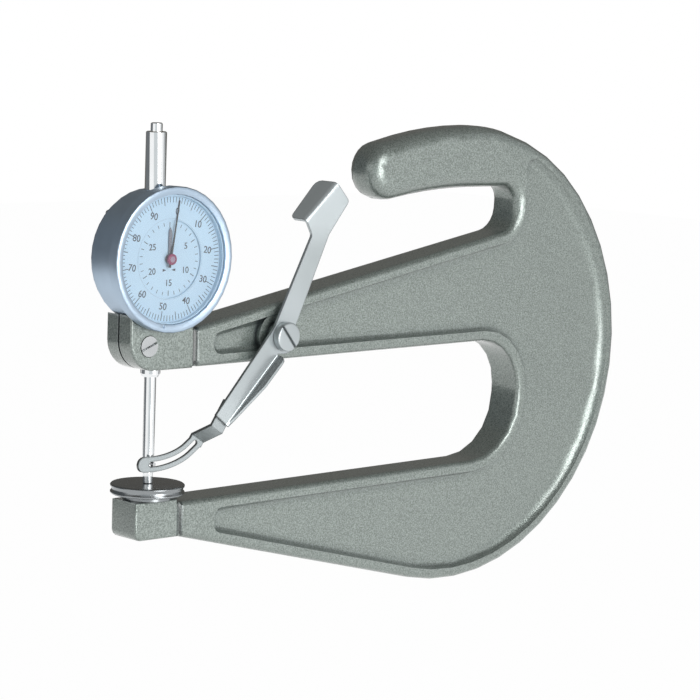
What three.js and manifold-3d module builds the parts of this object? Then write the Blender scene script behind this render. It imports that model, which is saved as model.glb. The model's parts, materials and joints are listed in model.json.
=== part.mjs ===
// Dial thickness gauge: a deep cast C frame, a spring plunger read by a dial indicator, and a
// lifting lever whose slotted foot raises the plunger.
// Millimetres, +Z up. The dial faces -Y and the throat opens towards -X.
// The origin is on the measuring axis, at the flat underside of the lower head.
import * as THREE from 'three';
import { mergeVertices, toCreasedNormals } from 'three/addons/utils/BufferGeometryUtils.js';
import Module from 'manifold-3d';

const wasm = await Module();
wasm.setup();

const degree = THREE.MathUtils.DEG2RAD;

// Clearances and cutting
const fineGap = 0.1; // washers and wheels on their arbors
const seatGap = 0.15; // between fixed pieces
const runGap = 0.3; // between moving pieces
const contactGap = 0.05; // contact point above the anvil at zero
const overrun = 1; // how far a cutter passes a face
const pointSpacing = 0.02; // outline points nearer than this are one

// Measuring movement
const measuringRange = 30;
const liftPerRadian = 59.3; // plunger lift for one radian of the lever
const rackPitch = 0.625;

// Frame casting
const frameThickness = 18;
const throatDepth = 201; // nominal 200 and the clearance of the measured sheet
const throatTopHeight = 46.9; // underside of the upper arm above the anvil face
const throatFloorDrop = 7.2; // top of the lower arm below the anvil face
const throatUpperCorner = 22;
const throatLowerCorner = 27;
const backWidth = 61.7; // throat end to the back edge
const outerRadius = 99.9;
const outerCentreHeight = 43.4; // above the anvil face
const upperArmHeight = 16; // at the head
const lowerArmHeight = 14.2; // at the head
const gripRootWidth = 66.4; // finger gap end to the back edge
const gapLowerCorner = 9.4;
const gapUpperCorner = 6.5;
const shoulderRadius = 72;
const gripLength = 61.2;
const gripThickness = 26.7;
const gripTopRadius = 202;
const gripUnderRadius = 256;
const gripTopEndShare = 0.42; // straight end of the grip's upper edge, of its thickness
const gripUnderEndShare = 0.68; // the same at its lower edge
const edgeRound = 2.2;
const gripRound = 6;
const rimWidth = 4.5;
const webDepth = 3; // recess on each face
const rimFilletNarrow = 2.2;
const rimFilletWide = 4.8;
const armCorner = 2.6;
const upperRecessStart = 25; // from the measuring axis
const lowerRecessStart = 27.8;
const recessEndRadius = 3.8;
const recessEndShare = 0.45; // the most that its radius takes of the recess's height there
const recessTipRadius = 5;
const fingerGapHeight = 18.7; // between the arm and the grip, at the gap's end
const throatTopDraft = 0.36 * degree;
const throatFloorDraft = 0.72 * degree;
const shoulderAngle = 75 * degree;

// Heads of the frame
const headThickness = 16;
const upperHeadFront = 16.3; // measuring axis to the end face
const upperHeadBack = 15.3; // measuring axis to the step of the arm
const upperHeadCorner = 12;
const lowerHeadFront = 11.8;
const lowerHeadBack = 9.5;
const lowerHeadHeight = 15.5;
const lowerHeadCorner = 3;
const headEdgeRound = 0.9;
const headStep = 0.3; // heads past the arm faces
const headSeatGap = 0.55; // round the dial case
const clampSlit = 0.9;
const clampSlitPast = 5; // behind the stem

// Anvil
const anvilRadius = 15;
const anvilDisc = 4;
const anvilRise = 6.1; // anvil face above the lower head
const anvilBossRadius = 10;
const anvilShankRadius = 3;
const anvilShankLength = 9;
const anvilGroove = 0.6;
const anvilLip = 0.9;
const anvilChamfer = 0.4;

// Clamp screw
const clampScrewOffset = 7; // in front of the measuring axis
const clampScrewDrop = 7.65; // below the dial case
const clampScrewHead = 4.2;
const clampScrewRadius = 2;
const clampScrewSlot = 1;
const clampScrewTurn = 22 * degree;

// Plunger, contact point, stem and guide tube
const plungerRadius = 2.4;
const plungerTopLength = 3.4; // above the guide tube at zero
const contactRadius = 2.1;
const contactLength = 5.2;
const contactStudRadius = 1.1;
const contactStudLength = 1.5;
const rodChamfer = 0.4;
const stemRadius = 4;
const stemReach = 3.6; // below the upper arm
const stemChamfer = 1.4;
const stemLip = 0.25;
const tubeRadius = 4.2;
const guideTubeTop = 141; // above the anvil face
const boreRadius = 2.8;
const bushRadius = 3;
const bushLength = 6;

// Dial case
const dialRise = 28.4; // dial centre above the upper arm
const dialTurn = 9.3 * degree; // clockwise, of the outer scale
const bezelHeadGap = 1.2; // in front of the upper head
const bezelWall = 1.65; // outside the case
const bezelLip = 1.45; // ring round the crystal
const bezelLipDrop = 0.6; // of its sloped inner edge
const bezelShoulderDrop = 0.25; // outer end of its front face
const bezelEdge = 0.4;
const bezelEdgeDrop = 0.65;
const bezelNotch = 0.9; // split in the ring round the crystal
const bezelNotchTurn = 191 * degree; // clockwise from the top
const caseRadius = 27.05;
const caseWall = 1.05;
const caseLip = 0.9; // case past the outer scale
const caseRear = 5.4; // behind the measuring axis
const caseEdge = 1.2;
const caseFlange = 3.5;
const coverThickness = 1.5;
const coverChamfer = 0.6;
const coverScrewRadius = 0.8;
const coverScrewHead = 1.6;
const coverScrewHeight = 0.5;
const coverScrewSlot = 0.3;
const coverScrewCircle = 24;
const coverScrewCount = 4;
const crystalThickness = 1;
const crystalRecess = 0.65;
const dialPlateThickness = 0.4;
const dialPlateLap = 1; // behind the outer scale
const dialPlateRise = 0.5; // clear of the hour wheel
const dialFootRadius = 1;
const dialFootCircle = 11;
const dialFootCount = 3;
const dialFootTurn = 30 * degree;
const scaleBore = 15.6;
const spacerWall = 0.5;
const spacerDepth = 2.1; // outer scale to crystal
const ringSection = 0.5;
const ringGroove = 0.3;

// Movement, with its depths measured in front of the measuring axis
const backPlateRear = -3.7;
const plateThickness = 0.8;
const bridgeRear = 3;
const bridgeHalfWidth = 3.5;
const frontPlateRear = 7.3;
const frontPlateRadius = 21;
const pillarCircle = 17.5;
const pillarRadius = 1.6;
const pillarScrewRadius = 0.75;
const pillarScrewHead = 1.5;
const pillarScrewHeight = 0.8;
const pillarScrewLength = 2.5;
const thirdPillarTurn = 285 * degree;
const wheelTeeth = 60;
const wheelRadius = 7.5;
const wheelDistance = 8.25;
const wheelSpokes = 4;
const wheelRimShare = 0.8; // inner edge of the rim, of the wheel's radius
const wheelHubShare = 0.3;
const wheelWindowShare = 0.72; // open part of each spoke's sector
const toothDepth = 0.35;
const gearThickness = 0.6;
const centrePinionTeeth = 6;
const centrePinionRadius = 0.65;
const centrePinionTooth = 0.12;
const rackPinionTeeth = 16;
const rackPinionRadius = 1.6;
const rackPinionOffset = 3.7; // left of the measuring axis
const rackTips = 1.9; // left of the measuring axis
const rackLength = 34.4;
const arborRadius = 0.5;
const bigWheelRear = 4.3;
const takeUpRear = 5.5;
const takeUpOffset = 5;
const hairspringRear = 6.4;
const hairspringRadius = 5;
const hairspringWire = 0.35;
const hairspringTurns = 2;
const motionWorkRear = 8.5;
const hourPinionTeeth = 9;
const hourPinionRadius = 2;
const hourWheelTeeth = 27;
const hourWheelRadius = 6;
const hourTubeRadius = 1.3;
const handRise = 0.4; // each hand above what lies behind it
const turnHandTipGap = 3.1; // to the bore of the outer scale
const turnHandBoss = 2.1;
const turnHandHalfWidth = 0.7;
const mainHandTipGap = 1.7; // to the spacer
const mainHandTail = 3.4;
const mainHandBoss = 1.5;
const mainHandHalfWidth = 0.45;
const mainHandTipHalfWidth = 0.15;
const mainHandTailHalfWidth = 0.6;
const handThickness = 0.3;
const handHubRadius = 2.25;
const guidePinReach = 9;
const guidePinRadius = 0.8;
const guidePinDrop = 11; // below the dial centre at zero
const guideRailOffset = 4.4; // right of the measuring axis
const guideRailThickness = 1.9;
const guideRailFront = 2.3;
const guideRailEnd = 1.6; // past the pin at each end
const returnSpringRadius = 1.5;
const returnSpringLength = 8;
const returnSpringCoils = 6;
const returnSpringWire = 0.4;

// Lever pivot
const pivotOffset = 58.4; // from the measuring axis
const pivotHeight = 57.6; // above the anvil face
const pivotPadRadius = 9.2;
const pivotPadSetback = 0.4; // behind the face of the frame
const pivotBossRadius = 5.4;
const pivotBossFront = 11.6;
const pivotScrewRadius = 2;
const pivotHeadRadius = 6;
const pivotHeadHeight = 3.2;
const pivotHeadChamfer = 0.5;
const pivotSlotWidth = 0.9;
const pivotSlotDepth = 1.2;
const pivotShankEnd = 2; // in front of the mid plane
const pivotSlotTurn = -52 * degree;
const washerRadius = 4;
const washerThickness = 0.4;

// Lever strip, with lengths and sides measured from the pivot
const leverThickness = 1.2;
const leverBend = 2; // outer radius of its folds
const eyeRadius = 7.4;
const upperStripTurn = 63.2 * degree;
const upperStripLength = 42.7;
const upperStripLeft = 6.5;
const upperStripRight = 3.6; // at the eye
const upperStripWidth = 8.3; // at the thumb tab
const tabTurn = 42 * degree;
const tabNotch = 7.5;
const tabShift = 1.4; // start of the tab's fold past the notch
const tabLength = 22.5;
const tabWidth = 10.8;
const tabThroat = 4.1; // tab root past the notch
const tabThroatRadius = 9;
const tabCorner = 1.8;
const tabFlangeDepth = 9.8;
const tabFlangeFlare = 3; // deeper at its outer end
const tabFlangeCorner = 3;
const lowerStripTurn = 50 * degree;
const lowerStripLength = 45.4;
const lowerStripLeft = 7.3;
const lowerStripRight = 3.9; // at the eye
const lowerStripWidth = 8.5; // at its end
const stripFlangeDepth = 4.7;
const stripFlangeStart = 8; // from the pivot
const stripFlangeFull = 22;

// Slotted foot
const footThickness = 1.2;
const footHalfWidth = 3.1;
const footSlotHalfWidth = 1.1;
const slotStartLift = -1.8; // plunger lift that the lower end of the slot answers to
const footStartLift = -5.5;
const camEndPast = 5; // cam beyond the measuring range
const slotPast = 3.6; // straight end of the slot beyond the cam
const footPast = 5; // straight end of the foot beyond the cam
const footStripTurn = 56.5 * degree;
const footStripWidth = 6.9;
const footStripSide = 7.65; // strip centre line from the pivot
const footStripStart = 36.3; // welded end, from the pivot
const footRampStart = 48.5;
const footRampEnd = 54.1;
const footStripEnd = 56.3;
const liftPinRadius = 0.8;
const liftPinHeight = 8.2; // above the anvil face
const liftPinReach = 4.1;

// Facets
const dialFacets = 36;
const roundFacets = 24;
const smallFacets = 16;
const tinyFacets = 8;
const outerArcSteps = 22;
const camSteps = 12;
const springTurnSteps = 12;
const smallCorner = 5; // corners under this radius get fewer steps
const smallCornerSteps = 3;

// Derived places, with heights measured from the anvil face
const anvilFace = lowerHeadHeight + anvilRise;
const halfFrame = frameThickness / 2;
const halfHead = headThickness / 2;
const webFace = halfFrame - webDepth;
const headTop = -anvilRise;
const headBottom = headTop - lowerHeadHeight;
const lowerArmBottom = -throatFloorDrop - lowerArmHeight;
const outerCentreX = throatDepth + backWidth - outerRadius;
const gapEnd = throatDepth + backWidth - gripRootWidth;
const shoulderX = outerCentreX + (outerRadius - shoulderRadius) * Math.cos(shoulderAngle);
const shoulderHeight = outerCentreHeight + (outerRadius - shoulderRadius) * Math.sin(shoulderAngle);
const gripTop = shoulderHeight + shoulderRadius;
const gripUnder = gripTop - gripThickness;
const gripEnd = shoulderX - gripLength;
const armRise = gripUnder - fingerGapHeight - throatTopHeight - upperArmHeight;
const upperArmSlope = Math.atan2(armRise, gapEnd - upperHeadBack);
const stemEnd = throatTopHeight - stemReach;
const dialHeight = throatTopHeight + upperArmHeight + dialRise;
const clampScrewHeight = dialHeight - caseRadius - clampScrewDrop;
const caseInner = caseRadius - caseWall;
const scaleRadius = caseInner - runGap;
const spacerInner = scaleRadius - spacerWall;
const dialPlateRear = motionWorkRear + gearThickness + dialPlateRise;
const dialPlateFront = dialPlateRear + dialPlateThickness;
const scaleRear = dialPlateFront + runGap;
const scaleFront = scaleRear + dialPlateThickness;
const caseFront = scaleFront + caseLip;
const crystalRear = scaleFront + spacerDepth;
const crystalFront = crystalRear + crystalThickness;
const bezelFront = crystalFront + crystalRecess;
const bezelRear = halfHead + bezelHeadGap;
const bezelStep = caseFront + runGap;
const bezelSkirt = caseRadius + runGap;
const bezelRadius = bezelSkirt + bezelWall;
const bezelBore = scaleRadius + seatGap;
const ringSetback = (bezelRear + bezelStep) / 2;
const turnHandRear = dialPlateFront + handRise;
const mainHandRear = turnHandRear + handThickness + handRise;
const turnHandLength = scaleBore - turnHandTipGap;
const mainHandLength = spacerInner - mainHandTipGap;
const coverFace = caseRear + seatGap + coverThickness;
const bigWheelX = -rackPinionOffset;
const bigWheelZ = -Math.sqrt(wheelDistance ** 2 - rackPinionOffset ** 2);
const takeUpX = -takeUpOffset;
const takeUpZ = Math.sqrt(wheelDistance ** 2 - takeUpOffset ** 2);
const leverRear = pivotBossFront + fineGap + washerThickness + fineGap;
const leverFront = leverRear + leverThickness;
const footRear = plungerRadius + runGap;
const footFront = footRear + footThickness;

// Materials
function finish(name, color, roughness, metalness) {
  return new THREE.MeshStandardMaterial({ name, color, roughness, metalness });
}
const hammerPaint = finish('hammer paint', 0x96a09b, 0.45, 0.4);
const chrome = finish('chrome', 0xd8dadd, 0.12, 1);
const steel = finish('ground steel', 0x9a9ca0, 0.3, 1);
const sheetSteel = finish('polished sheet steel', 0xc9cccf, 0.25, 1);
const satinChrome = finish('satin chrome', 0xa9b4c2, 0.38, 0.8);
const brass = finish('brass', 0xb5934c, 0.35, 0.9);
const dialFace = finish('dial face', 0xc8dcec, 0.6, 0);
const handBlack = finish('hand black', 0x1b1c20, 0.5, 0);
const hubRed = finish('hub red', 0xa32a38, 0.45, 0);
const clearCrystal = new THREE.MeshStandardMaterial({
  name: 'crystal', color: 0xeef4f8, roughness: 0.05, metalness: 0, transparent: true, opacity: 0.3,
});

// Solids
function closed(geometry) {
  const bare = geometry.clone();
  bare.deleteAttribute('normal');
  bare.deleteAttribute('uv');
  const merged = mergeVertices(bare);
  const places = merged.attributes.position;
  const index = merged.index.array;
  const faces = [];
  let volume = 0;
  for (let i = 0; i < index.length; i += 3) {
    const face = [index[i], index[i + 1], index[i + 2]];
    if (new Set(face).size < face.length) continue;
    const [a, b, c] = face.map((corner) => new THREE.Vector3().fromBufferAttribute(places, corner));
    volume += a.dot(b.cross(c));
    faces.push(face);
  }
  const outward = volume < 0 ? faces.map(([a, b, c]) => [a, c, b]) : faces;
  const result = new THREE.BufferGeometry();
  result.setAttribute('position', places);
  result.setIndex(outward.flat());
  return result;
}

function solid(geometry) {
  const body = closed(geometry);
  return new wasm.Manifold(new wasm.Mesh({
    numProp: 3,
    vertProperties: new Float32Array(body.attributes.position.array),
    triVerts: new Uint32Array(body.index.array),
  }));
}

function geometryOf(manifold) {
  const { vertProperties, triVerts } = manifold.getMesh();
  const result = new THREE.BufferGeometry();
  result.setAttribute('position', new THREE.BufferAttribute(new Float32Array(vertProperties), 3));
  result.setIndex(new THREE.BufferAttribute(new Uint32Array(triVerts), 1));
  return result;
}

function joined(first, ...others) {
  return geometryOf(others.reduce((sum, other) => sum.add(solid(other)), solid(first)));
}

function cut(first, ...tools) {
  return geometryOf(tools.reduce((rest, tool) => rest.subtract(solid(tool)), solid(first)));
}

function common(first, second) {
  return geometryOf(solid(first).intersect(solid(second)));
}

function named(name, geometry, material) {
  const mesh = new THREE.Mesh(toCreasedNormals(closed(geometry), 30 * degree), material);
  mesh.name = name;
  return mesh;
}

// Turned pieces: a profile of radius and place along the axis
function turnedY(profile, facets = roundFacets) {
  return new THREE.LatheGeometry(profile.map(([r, y]) => new THREE.Vector2(r, y)), facets);
}

function turnedZ(profile, facets = roundFacets) {
  return turnedY(profile, facets).rotateX(Math.PI / 2);
}

function rodY(radius, rear, front, facets = roundFacets) {
  return turnedY([[0, front], [radius, front], [radius, rear], [0, rear]], facets);
}

function rodZ(radius, low, high, facets = roundFacets) {
  return turnedZ([[0, low], [radius, low], [radius, high], [0, high]], facets);
}

function block(x0, x1, y0, y1, z0, z1) {
  const geometry = new THREE.BoxGeometry(x1 - x0, y1 - y0, z1 - z0);
  return geometry.translate((x0 + x1) / 2, (y0 + y1) / 2, (z0 + z1) / 2);
}

// Outlines in XZ, all anticlockwise as seen from the dial side
function arc(x, z, radius, from, to, steps) {
  return Array.from({ length: steps + 1 }, (_, i) => {
    const angle = from + ((to - from) * i) / steps;
    return [x + radius * Math.cos(angle), z + radius * Math.sin(angle)];
  });
}

function circle(x, z, radius, facets = roundFacets) {
  return arc(x, z, radius, 0, 2 * Math.PI, facets).slice(1);
}

// A vertex with a radius as its third value becomes a round corner
function roundedPath(vertices, steps = 6) {
  const count = vertices.length;
  return vertices.flatMap(([x, z, radius], i) => {
    if (!radius) return [[x, z]];
    const here = new THREE.Vector2(x, z);
    const before = new THREE.Vector2(...vertices[(i + count - 1) % count]).sub(here);
    const after = new THREE.Vector2(...vertices[(i + 1) % count]).sub(here);
    const room = Math.min(before.length(), after.length());
    before.normalize();
    after.normalize();
    const half = Math.acos(before.dot(after)) / 2;
    const reach = Math.min(radius / Math.tan(half), room);
    const start = here.clone().addScaledVector(before, reach);
    const end = here.clone().addScaledVector(after, reach);
    const centre = before.add(after).normalize().multiplyScalar(reach / Math.cos(half)).add(here);
    start.sub(centre);
    end.sub(centre);
    const sweep = Math.atan2(start.cross(end), start.dot(end));
    const parts = radius < smallCorner ? smallCornerSteps : steps;
    return arc(centre.x, centre.y, start.length(), start.angle(), start.angle() + sweep, parts);
  }).filter(([x, z], i, points) => {
    const [x0, z0] = points.at(i - 1);
    return Math.hypot(x - x0, z - z0) > pointSpacing;
  });
}

// A flat plate of an outline between two places on Y
function plate(outline, rear, front, holes = []) {
  const path = (points) => points.map(([x, z]) => new THREE.Vector2(x, z));
  const shape = new THREE.Shape(path(outline));
  shape.holes = holes.map((hole) => new THREE.Path(path(hole)));
  const geometry = new THREE.ExtrudeGeometry(shape, { depth: rear - front, bevelEnabled: false });
  return geometry.rotateX(Math.PI / 2).translate(0, rear, 0);
}

function inwardNormals(outline) {
  const count = outline.length;
  return outline.map(([x, z], i) => {
    const [x0, z0] = outline[(i + count - 1) % count];
    const [x1, z1] = outline[(i + 1) % count];
    const before = new THREE.Vector2(z0 - z, x - x0).normalize();
    const after = new THREE.Vector2(z - z1, x1 - x).normalize();
    const middle = before.clone().add(after).normalize();
    return middle.divideScalar(middle.dot(after));
  });
}

// A closed skin through rings of equal point count, capped at both ends
function skinned(rings) {
  const count = rings[0].length;
  const faces = [];
  for (let start = 0; start < (rings.length - 1) * count; start += count) {
    for (let i = 0; i < count; i += 1) {
      const [a, b] = [start + i, start + ((i + 1) % count)];
      faces.push(a, b, a + count, b, b + count, a + count);
    }
  }
  const cap = (ring) => THREE.ShapeUtils.triangulateShape(
    ring.map(([x, , z]) => new THREE.Vector2(x, z)), []);
  const last = (rings.length - 1) * count;
  cap(rings[0]).forEach(([a, b, c]) => faces.push(a, c, b));
  cap(rings.at(-1)).forEach((face) => faces.push(...face.map((corner) => last + corner)));
  const geometry = new THREE.BufferGeometry();
  geometry.setAttribute('position', new THREE.Float32BufferAttribute(rings.flat(2), 3));
  geometry.setIndex(faces);
  return geometry;
}

function quarterTurns(steps) {
  return Array.from({ length: steps + 1 }, (_, i) => ((Math.PI / 2) * i) / steps);
}

// A slab with round edges, whose radius may change from point to point
function roundedSlab(outline, halfThickness, radiusAt, steps) {
  const normals = inwardNormals(outline);
  const ring = (side, turn) => outline.map(([x, z], i) => {
    const radius = radiusAt(x, z);
    const inset = radius * (1 - Math.cos(turn));
    const y = side * (halfThickness - radius * (1 - Math.sin(turn)));
    return [x + normals[i].x * inset, y, z + normals[i].y * inset];
  });
  const turns = quarterTurns(steps);
  return skinned([
    ...turns.toReversed().map((turn) => ring(-1, turn)),
    ...turns.map((turn) => ring(1, turn)),
  ]);
}

// A cutter for a shallow recess with a fillet at its foot, on one side of the mid plane
function recessCutter(outline, face, depth, filletAt, side, steps) {
  const normals = inwardNormals(outline);
  const ring = (turn, past = 0) => outline.map(([x, z], i) => {
    const inset = filletAt(x) * (1 - Math.cos(turn));
    const y = side * (face + past - depth * Math.sin(turn));
    return [x + normals[i].x * inset, y, z + normals[i].y * inset];
  });
  return skinned([ring(0, overrun), ...quarterTurns(steps).map((turn) => ring(turn))]);
}

// Edges of the arms, each with the inset that the rim of the recess takes
function edgeHeight(x, startX, startHeight, slope, inset) {
  return startHeight + (x - startX) * Math.tan(slope) + inset / Math.cos(slope);
}

function upperArmTop(x, inset = 0) {
  return edgeHeight(x, upperHeadBack, throatTopHeight + upperArmHeight, upperArmSlope, -inset);
}

function throatTop(x, inset = 0) {
  return edgeHeight(x, upperHeadBack, throatTopHeight, throatTopDraft, inset);
}

function throatFloor(x, inset = 0) {
  return edgeHeight(x, lowerHeadBack, -throatFloorDrop, throatFloorDraft, -inset);
}

// The lower arm's underside is tangent to the round back
const centreTurn = Math.atan2(outerCentreHeight - lowerArmBottom, outerCentreX - lowerHeadBack);
const centreReach = Math.hypot(outerCentreHeight - lowerArmBottom, outerCentreX - lowerHeadBack);
const underSlope = centreTurn - Math.asin(outerRadius / centreReach);
const backStart = underSlope - Math.PI / 2;

function lowerArmUnder(x, inset) {
  return edgeHeight(x, lowerHeadBack, lowerArmBottom, underSlope, inset);
}

function frameOutline() {
  const topEndX = gripEnd + gripThickness * gripTopEndShare;
  const underEndX = gripEnd + gripThickness * gripUnderEndShare;
  const topTurn = Math.asin((shoulderX - topEndX) / gripTopRadius);
  const underTurn = Math.asin((shoulderX - underEndX) / gripUnderRadius);
  const topEnd = gripTop - gripTopRadius * (1 - Math.cos(topTurn));
  const underEnd = gripUnder - gripUnderRadius * (1 - Math.cos(underTurn));
  const endTop = topEnd - (topEndX - gripEnd) * Math.tan(topTurn);
  const endUnder = underEnd - (underEndX - gripEnd) * Math.tan(underTurn);
  const endRadius = (endTop - endUnder)
    / (Math.tan((Math.PI / 2 - topTurn) / 2) + Math.tan((Math.PI / 2 + underTurn) / 2));
  return roundedPath([
    [lowerHeadBack, lowerArmBottom, armCorner],
    ...arc(outerCentreX, outerCentreHeight, outerRadius, backStart, shoulderAngle, outerArcSteps),
    ...arc(shoulderX, shoulderHeight, shoulderRadius, shoulderAngle, Math.PI / 2, 4).slice(1),
    ...arc(shoulderX, gripTop - gripTopRadius, gripTopRadius,
      Math.PI / 2, Math.PI / 2 + topTurn, 5).slice(1),
    [gripEnd, endTop, endRadius],
    [gripEnd, endUnder, endRadius],
    ...arc(shoulderX, gripUnder - gripUnderRadius, gripUnderRadius,
      Math.PI / 2 + underTurn, Math.PI / 2, 5),
    [gapEnd, gripUnder, gapUpperCorner],
    [gapEnd, upperArmTop(gapEnd), gapLowerCorner],
    [upperHeadBack, upperArmTop(upperHeadBack), armCorner],
    [upperHeadBack, throatTop(upperHeadBack), armCorner],
    [throatDepth, throatTop(throatDepth), throatUpperCorner],
    [throatDepth, throatFloor(throatDepth), throatLowerCorner],
    [lowerHeadBack, throatFloor(lowerHeadBack), armCorner],
  ], 5);
}

function recessOutline() {
  const rim = rimWidth;
  const backRadius = outerRadius - rim;
  const tipX = gapEnd + rim + recessTipRadius;
  const tipReach = backRadius - recessTipRadius;
  const tipTurn = Math.acos((tipX - outerCentreX) / tipReach);
  const tipHeight = outerCentreHeight + tipReach * Math.sin(tipTurn);
  const lowerStart = [lowerArmUnder, throatFloor].map((edge) => edge(lowerRecessStart, rim));
  const upperStart = [throatTop, upperArmTop].map((edge) => edge(upperRecessStart, rim));
  const [lowerEndRadius, upperEndRadius] = [lowerStart, upperStart].map(([under, top]) => (
    Math.min(recessEndRadius, (top - under) * recessEndShare)));
  return roundedPath([
    [lowerRecessStart, lowerStart[0], lowerEndRadius],
    ...arc(outerCentreX, outerCentreHeight, backRadius, backStart, tipTurn, outerArcSteps),
    ...arc(tipX, tipHeight, recessTipRadius, tipTurn, Math.PI, 6).slice(1),
    [gapEnd + rim, upperArmTop(gapEnd + rim, rim), gapLowerCorner + rim],
    [upperRecessStart, upperStart[1], upperEndRadius],
    [upperRecessStart, upperStart[0], upperEndRadius],
    [throatDepth + rim, throatTop(throatDepth + rim, rim), throatUpperCorner + rim],
    [throatDepth + rim, throatFloor(throatDepth + rim, rim), throatLowerCorner + rim],
    [lowerRecessStart, lowerStart[1], lowerEndRadius],
  ], 5);
}

// The grip is rounder than the rims, and its rounding fades into the shoulder
function edgeRadiusAt(x, z) {
  const along = 1 - THREE.MathUtils.smoothstep(x, shoulderX, shoulderX + gripLength);
  const up = THREE.MathUtils.smoothstep(z, upperArmTop(shoulderX), gripUnder - gapUpperCorner);
  return THREE.MathUtils.lerp(edgeRound, gripRound, along * up);
}

function rimFilletAt(x) {
  const back = THREE.MathUtils.smoothstep(x, outerCentreX, throatDepth + backWidth);
  return THREE.MathUtils.lerp(rimFilletNarrow, rimFilletWide, back);
}

function headSlab(outline) {
  return roundedSlab(outline, halfHead, () => headEdgeRound, 2);
}

// The upper head carries the stem and reaches up round the dial case
function upperHead() {
  const root = upperHeadBack + armCorner;
  return headSlab(roundedPath([
    [-upperHeadFront, throatTopHeight - headStep, upperHeadCorner],
    [upperHeadBack, throatTopHeight - headStep],
    [upperHeadBack, throatTopHeight + headStep],
    [root, throatTopHeight + headStep],
    [root, upperArmTop(upperHeadBack) - headStep],
    [upperHeadBack, upperArmTop(upperHeadBack) - headStep],
    [upperHeadBack, dialHeight],
    [-upperHeadFront, dialHeight],
  ], 9));
}

function lowerHead() {
  const root = lowerHeadBack + armCorner;
  return headSlab(roundedPath([
    [-lowerHeadFront, headBottom, lowerHeadCorner],
    [root, headBottom],
    [root, -throatFloorDrop - headStep],
    [lowerHeadBack, -throatFloorDrop - headStep],
    [lowerHeadBack, headTop],
    [-lowerHeadFront, headTop],
  ], 4));
}

function clampScrewShoulder() {
  return clampScrewHead - clampScrewRadius - halfHead;
}

function frame() {
  const slab = roundedSlab(frameOutline(), halfFrame, edgeRadiusAt, 3);
  const recess = recessOutline();
  const recesses = [-1, 1].map((side) => recessCutter(recess, halfFrame, webDepth, rimFilletAt, side, 2));
  const boss = joined(
    rodY(pivotPadRadius, overrun - webFace, pivotPadSetback - halfFrame),
    rodY(pivotBossRadius, overrun - webFace, -pivotBossFront));
  const caseSeat = rodY(caseRadius + headSeatGap, frameThickness, -frameThickness, dialFacets);
  const slit = block(-upperHeadFront - overrun, stemRadius + clampSlitPast,
    -clampSlit / 2, clampSlit / 2, throatTopHeight - overrun, dialHeight);
  const stemBore = rodZ(stemRadius + seatGap, throatTopHeight - overrun, dialHeight);
  const anvilBore = rodZ(anvilShankRadius + seatGap, headTop - anvilShankLength - overrun,
    headTop + overrun, smallFacets);
  const sink = clampScrewHead + seatGap;
  const screwBore = turnedY([
    [0, halfHead + overrun],
    [clampScrewRadius + seatGap, halfHead + overrun],
    [clampScrewRadius + seatGap, clampScrewShoulder() + seatGap],
    [sink, seatGap - halfHead],
    [sink + seatGap, -halfHead],
    [sink + seatGap, -halfHead - overrun],
    [0, -halfHead - overrun],
  ], smallFacets);
  const pivotBore = rodY(pivotScrewRadius + seatGap, seatGap - pivotShankEnd,
    -pivotBossFront - overrun, smallFacets);
  return cut(
    joined(cut(slab, ...recesses), upperHead(), lowerHead(),
      boss.translate(pivotOffset, 0, pivotHeight)),
    caseSeat.translate(0, 0, dialHeight),
    slit,
    stemBore,
    anvilBore,
    screwBore.translate(-clampScrewOffset, 0, clampScrewHeight),
    pivotBore.translate(pivotOffset, 0, pivotHeight),
  );
}

function anvil() {
  const waist = anvilRadius - anvilGroove;
  return turnedZ([
    [0, 0],
    [anvilRadius - anvilChamfer, 0],
    [anvilRadius, -anvilChamfer],
    [anvilRadius, -anvilLip],
    [waist, -anvilLip - anvilGroove],
    [waist, anvilGroove + anvilLip - anvilDisc],
    [anvilRadius, anvilLip - anvilDisc],
    [anvilRadius, anvilChamfer - anvilDisc],
    [anvilRadius - anvilChamfer, -anvilDisc],
    [anvilBossRadius, -anvilDisc],
    [anvilBossRadius, headTop + seatGap],
    [anvilShankRadius, headTop + seatGap],
    [anvilShankRadius, headTop - anvilShankLength],
    [0, headTop - anvilShankLength],
  ], dialFacets);
}

// A screw whose slot is cut into the face that looks towards -Y
function slottedScrew(profile, reach, face, slotWidth, slotDepth, turn, facets) {
  const slot = block(-reach - overrun, reach + overrun, face - overrun, face + slotDepth,
    -slotWidth / 2, slotWidth / 2);
  return cut(turnedY(profile, facets), slot.rotateY(-turn));
}

function clampScrew() {
  const face = -halfHead - seatGap;
  return slottedScrew([
    [0, halfHead - overrun],
    [clampScrewRadius, halfHead - overrun],
    [clampScrewRadius, clampScrewShoulder()],
    [clampScrewHead, -halfHead],
    [clampScrewHead, face],
    [0, face],
  ], clampScrewHead, face, clampScrewSlot, clampScrewSlot, clampScrewTurn, smallFacets);
}

// Plunger and its guides, about the measuring axis
function rackCutter() {
  const left = -plungerRadius - overrun;
  const low = dialHeight + bigWheelZ - (measuringRange + rackLength) / 2;
  const teeth = Math.round(rackLength / rackPitch);
  const outline = [[left, low + teeth * rackPitch], [left, low]];
  for (let i = 0; i < teeth; i += 1) {
    outline.push([toothDepth - rackTips, low + (i + 1 / 4) * rackPitch]);
    outline.push([-rackTips, low + (i + 3 / 4) * rackPitch]);
  }
  return plate(outline, plungerRadius + overrun, left);
}

// A blind hole from the measuring axis outwards, turned from -Y towards +X
function crossHole(radius, height, turn) {
  return rodY(radius + seatGap, 0, -plungerRadius - overrun, tinyFacets).rotateZ(turn)
    .translate(0, 0, height);
}

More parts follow.
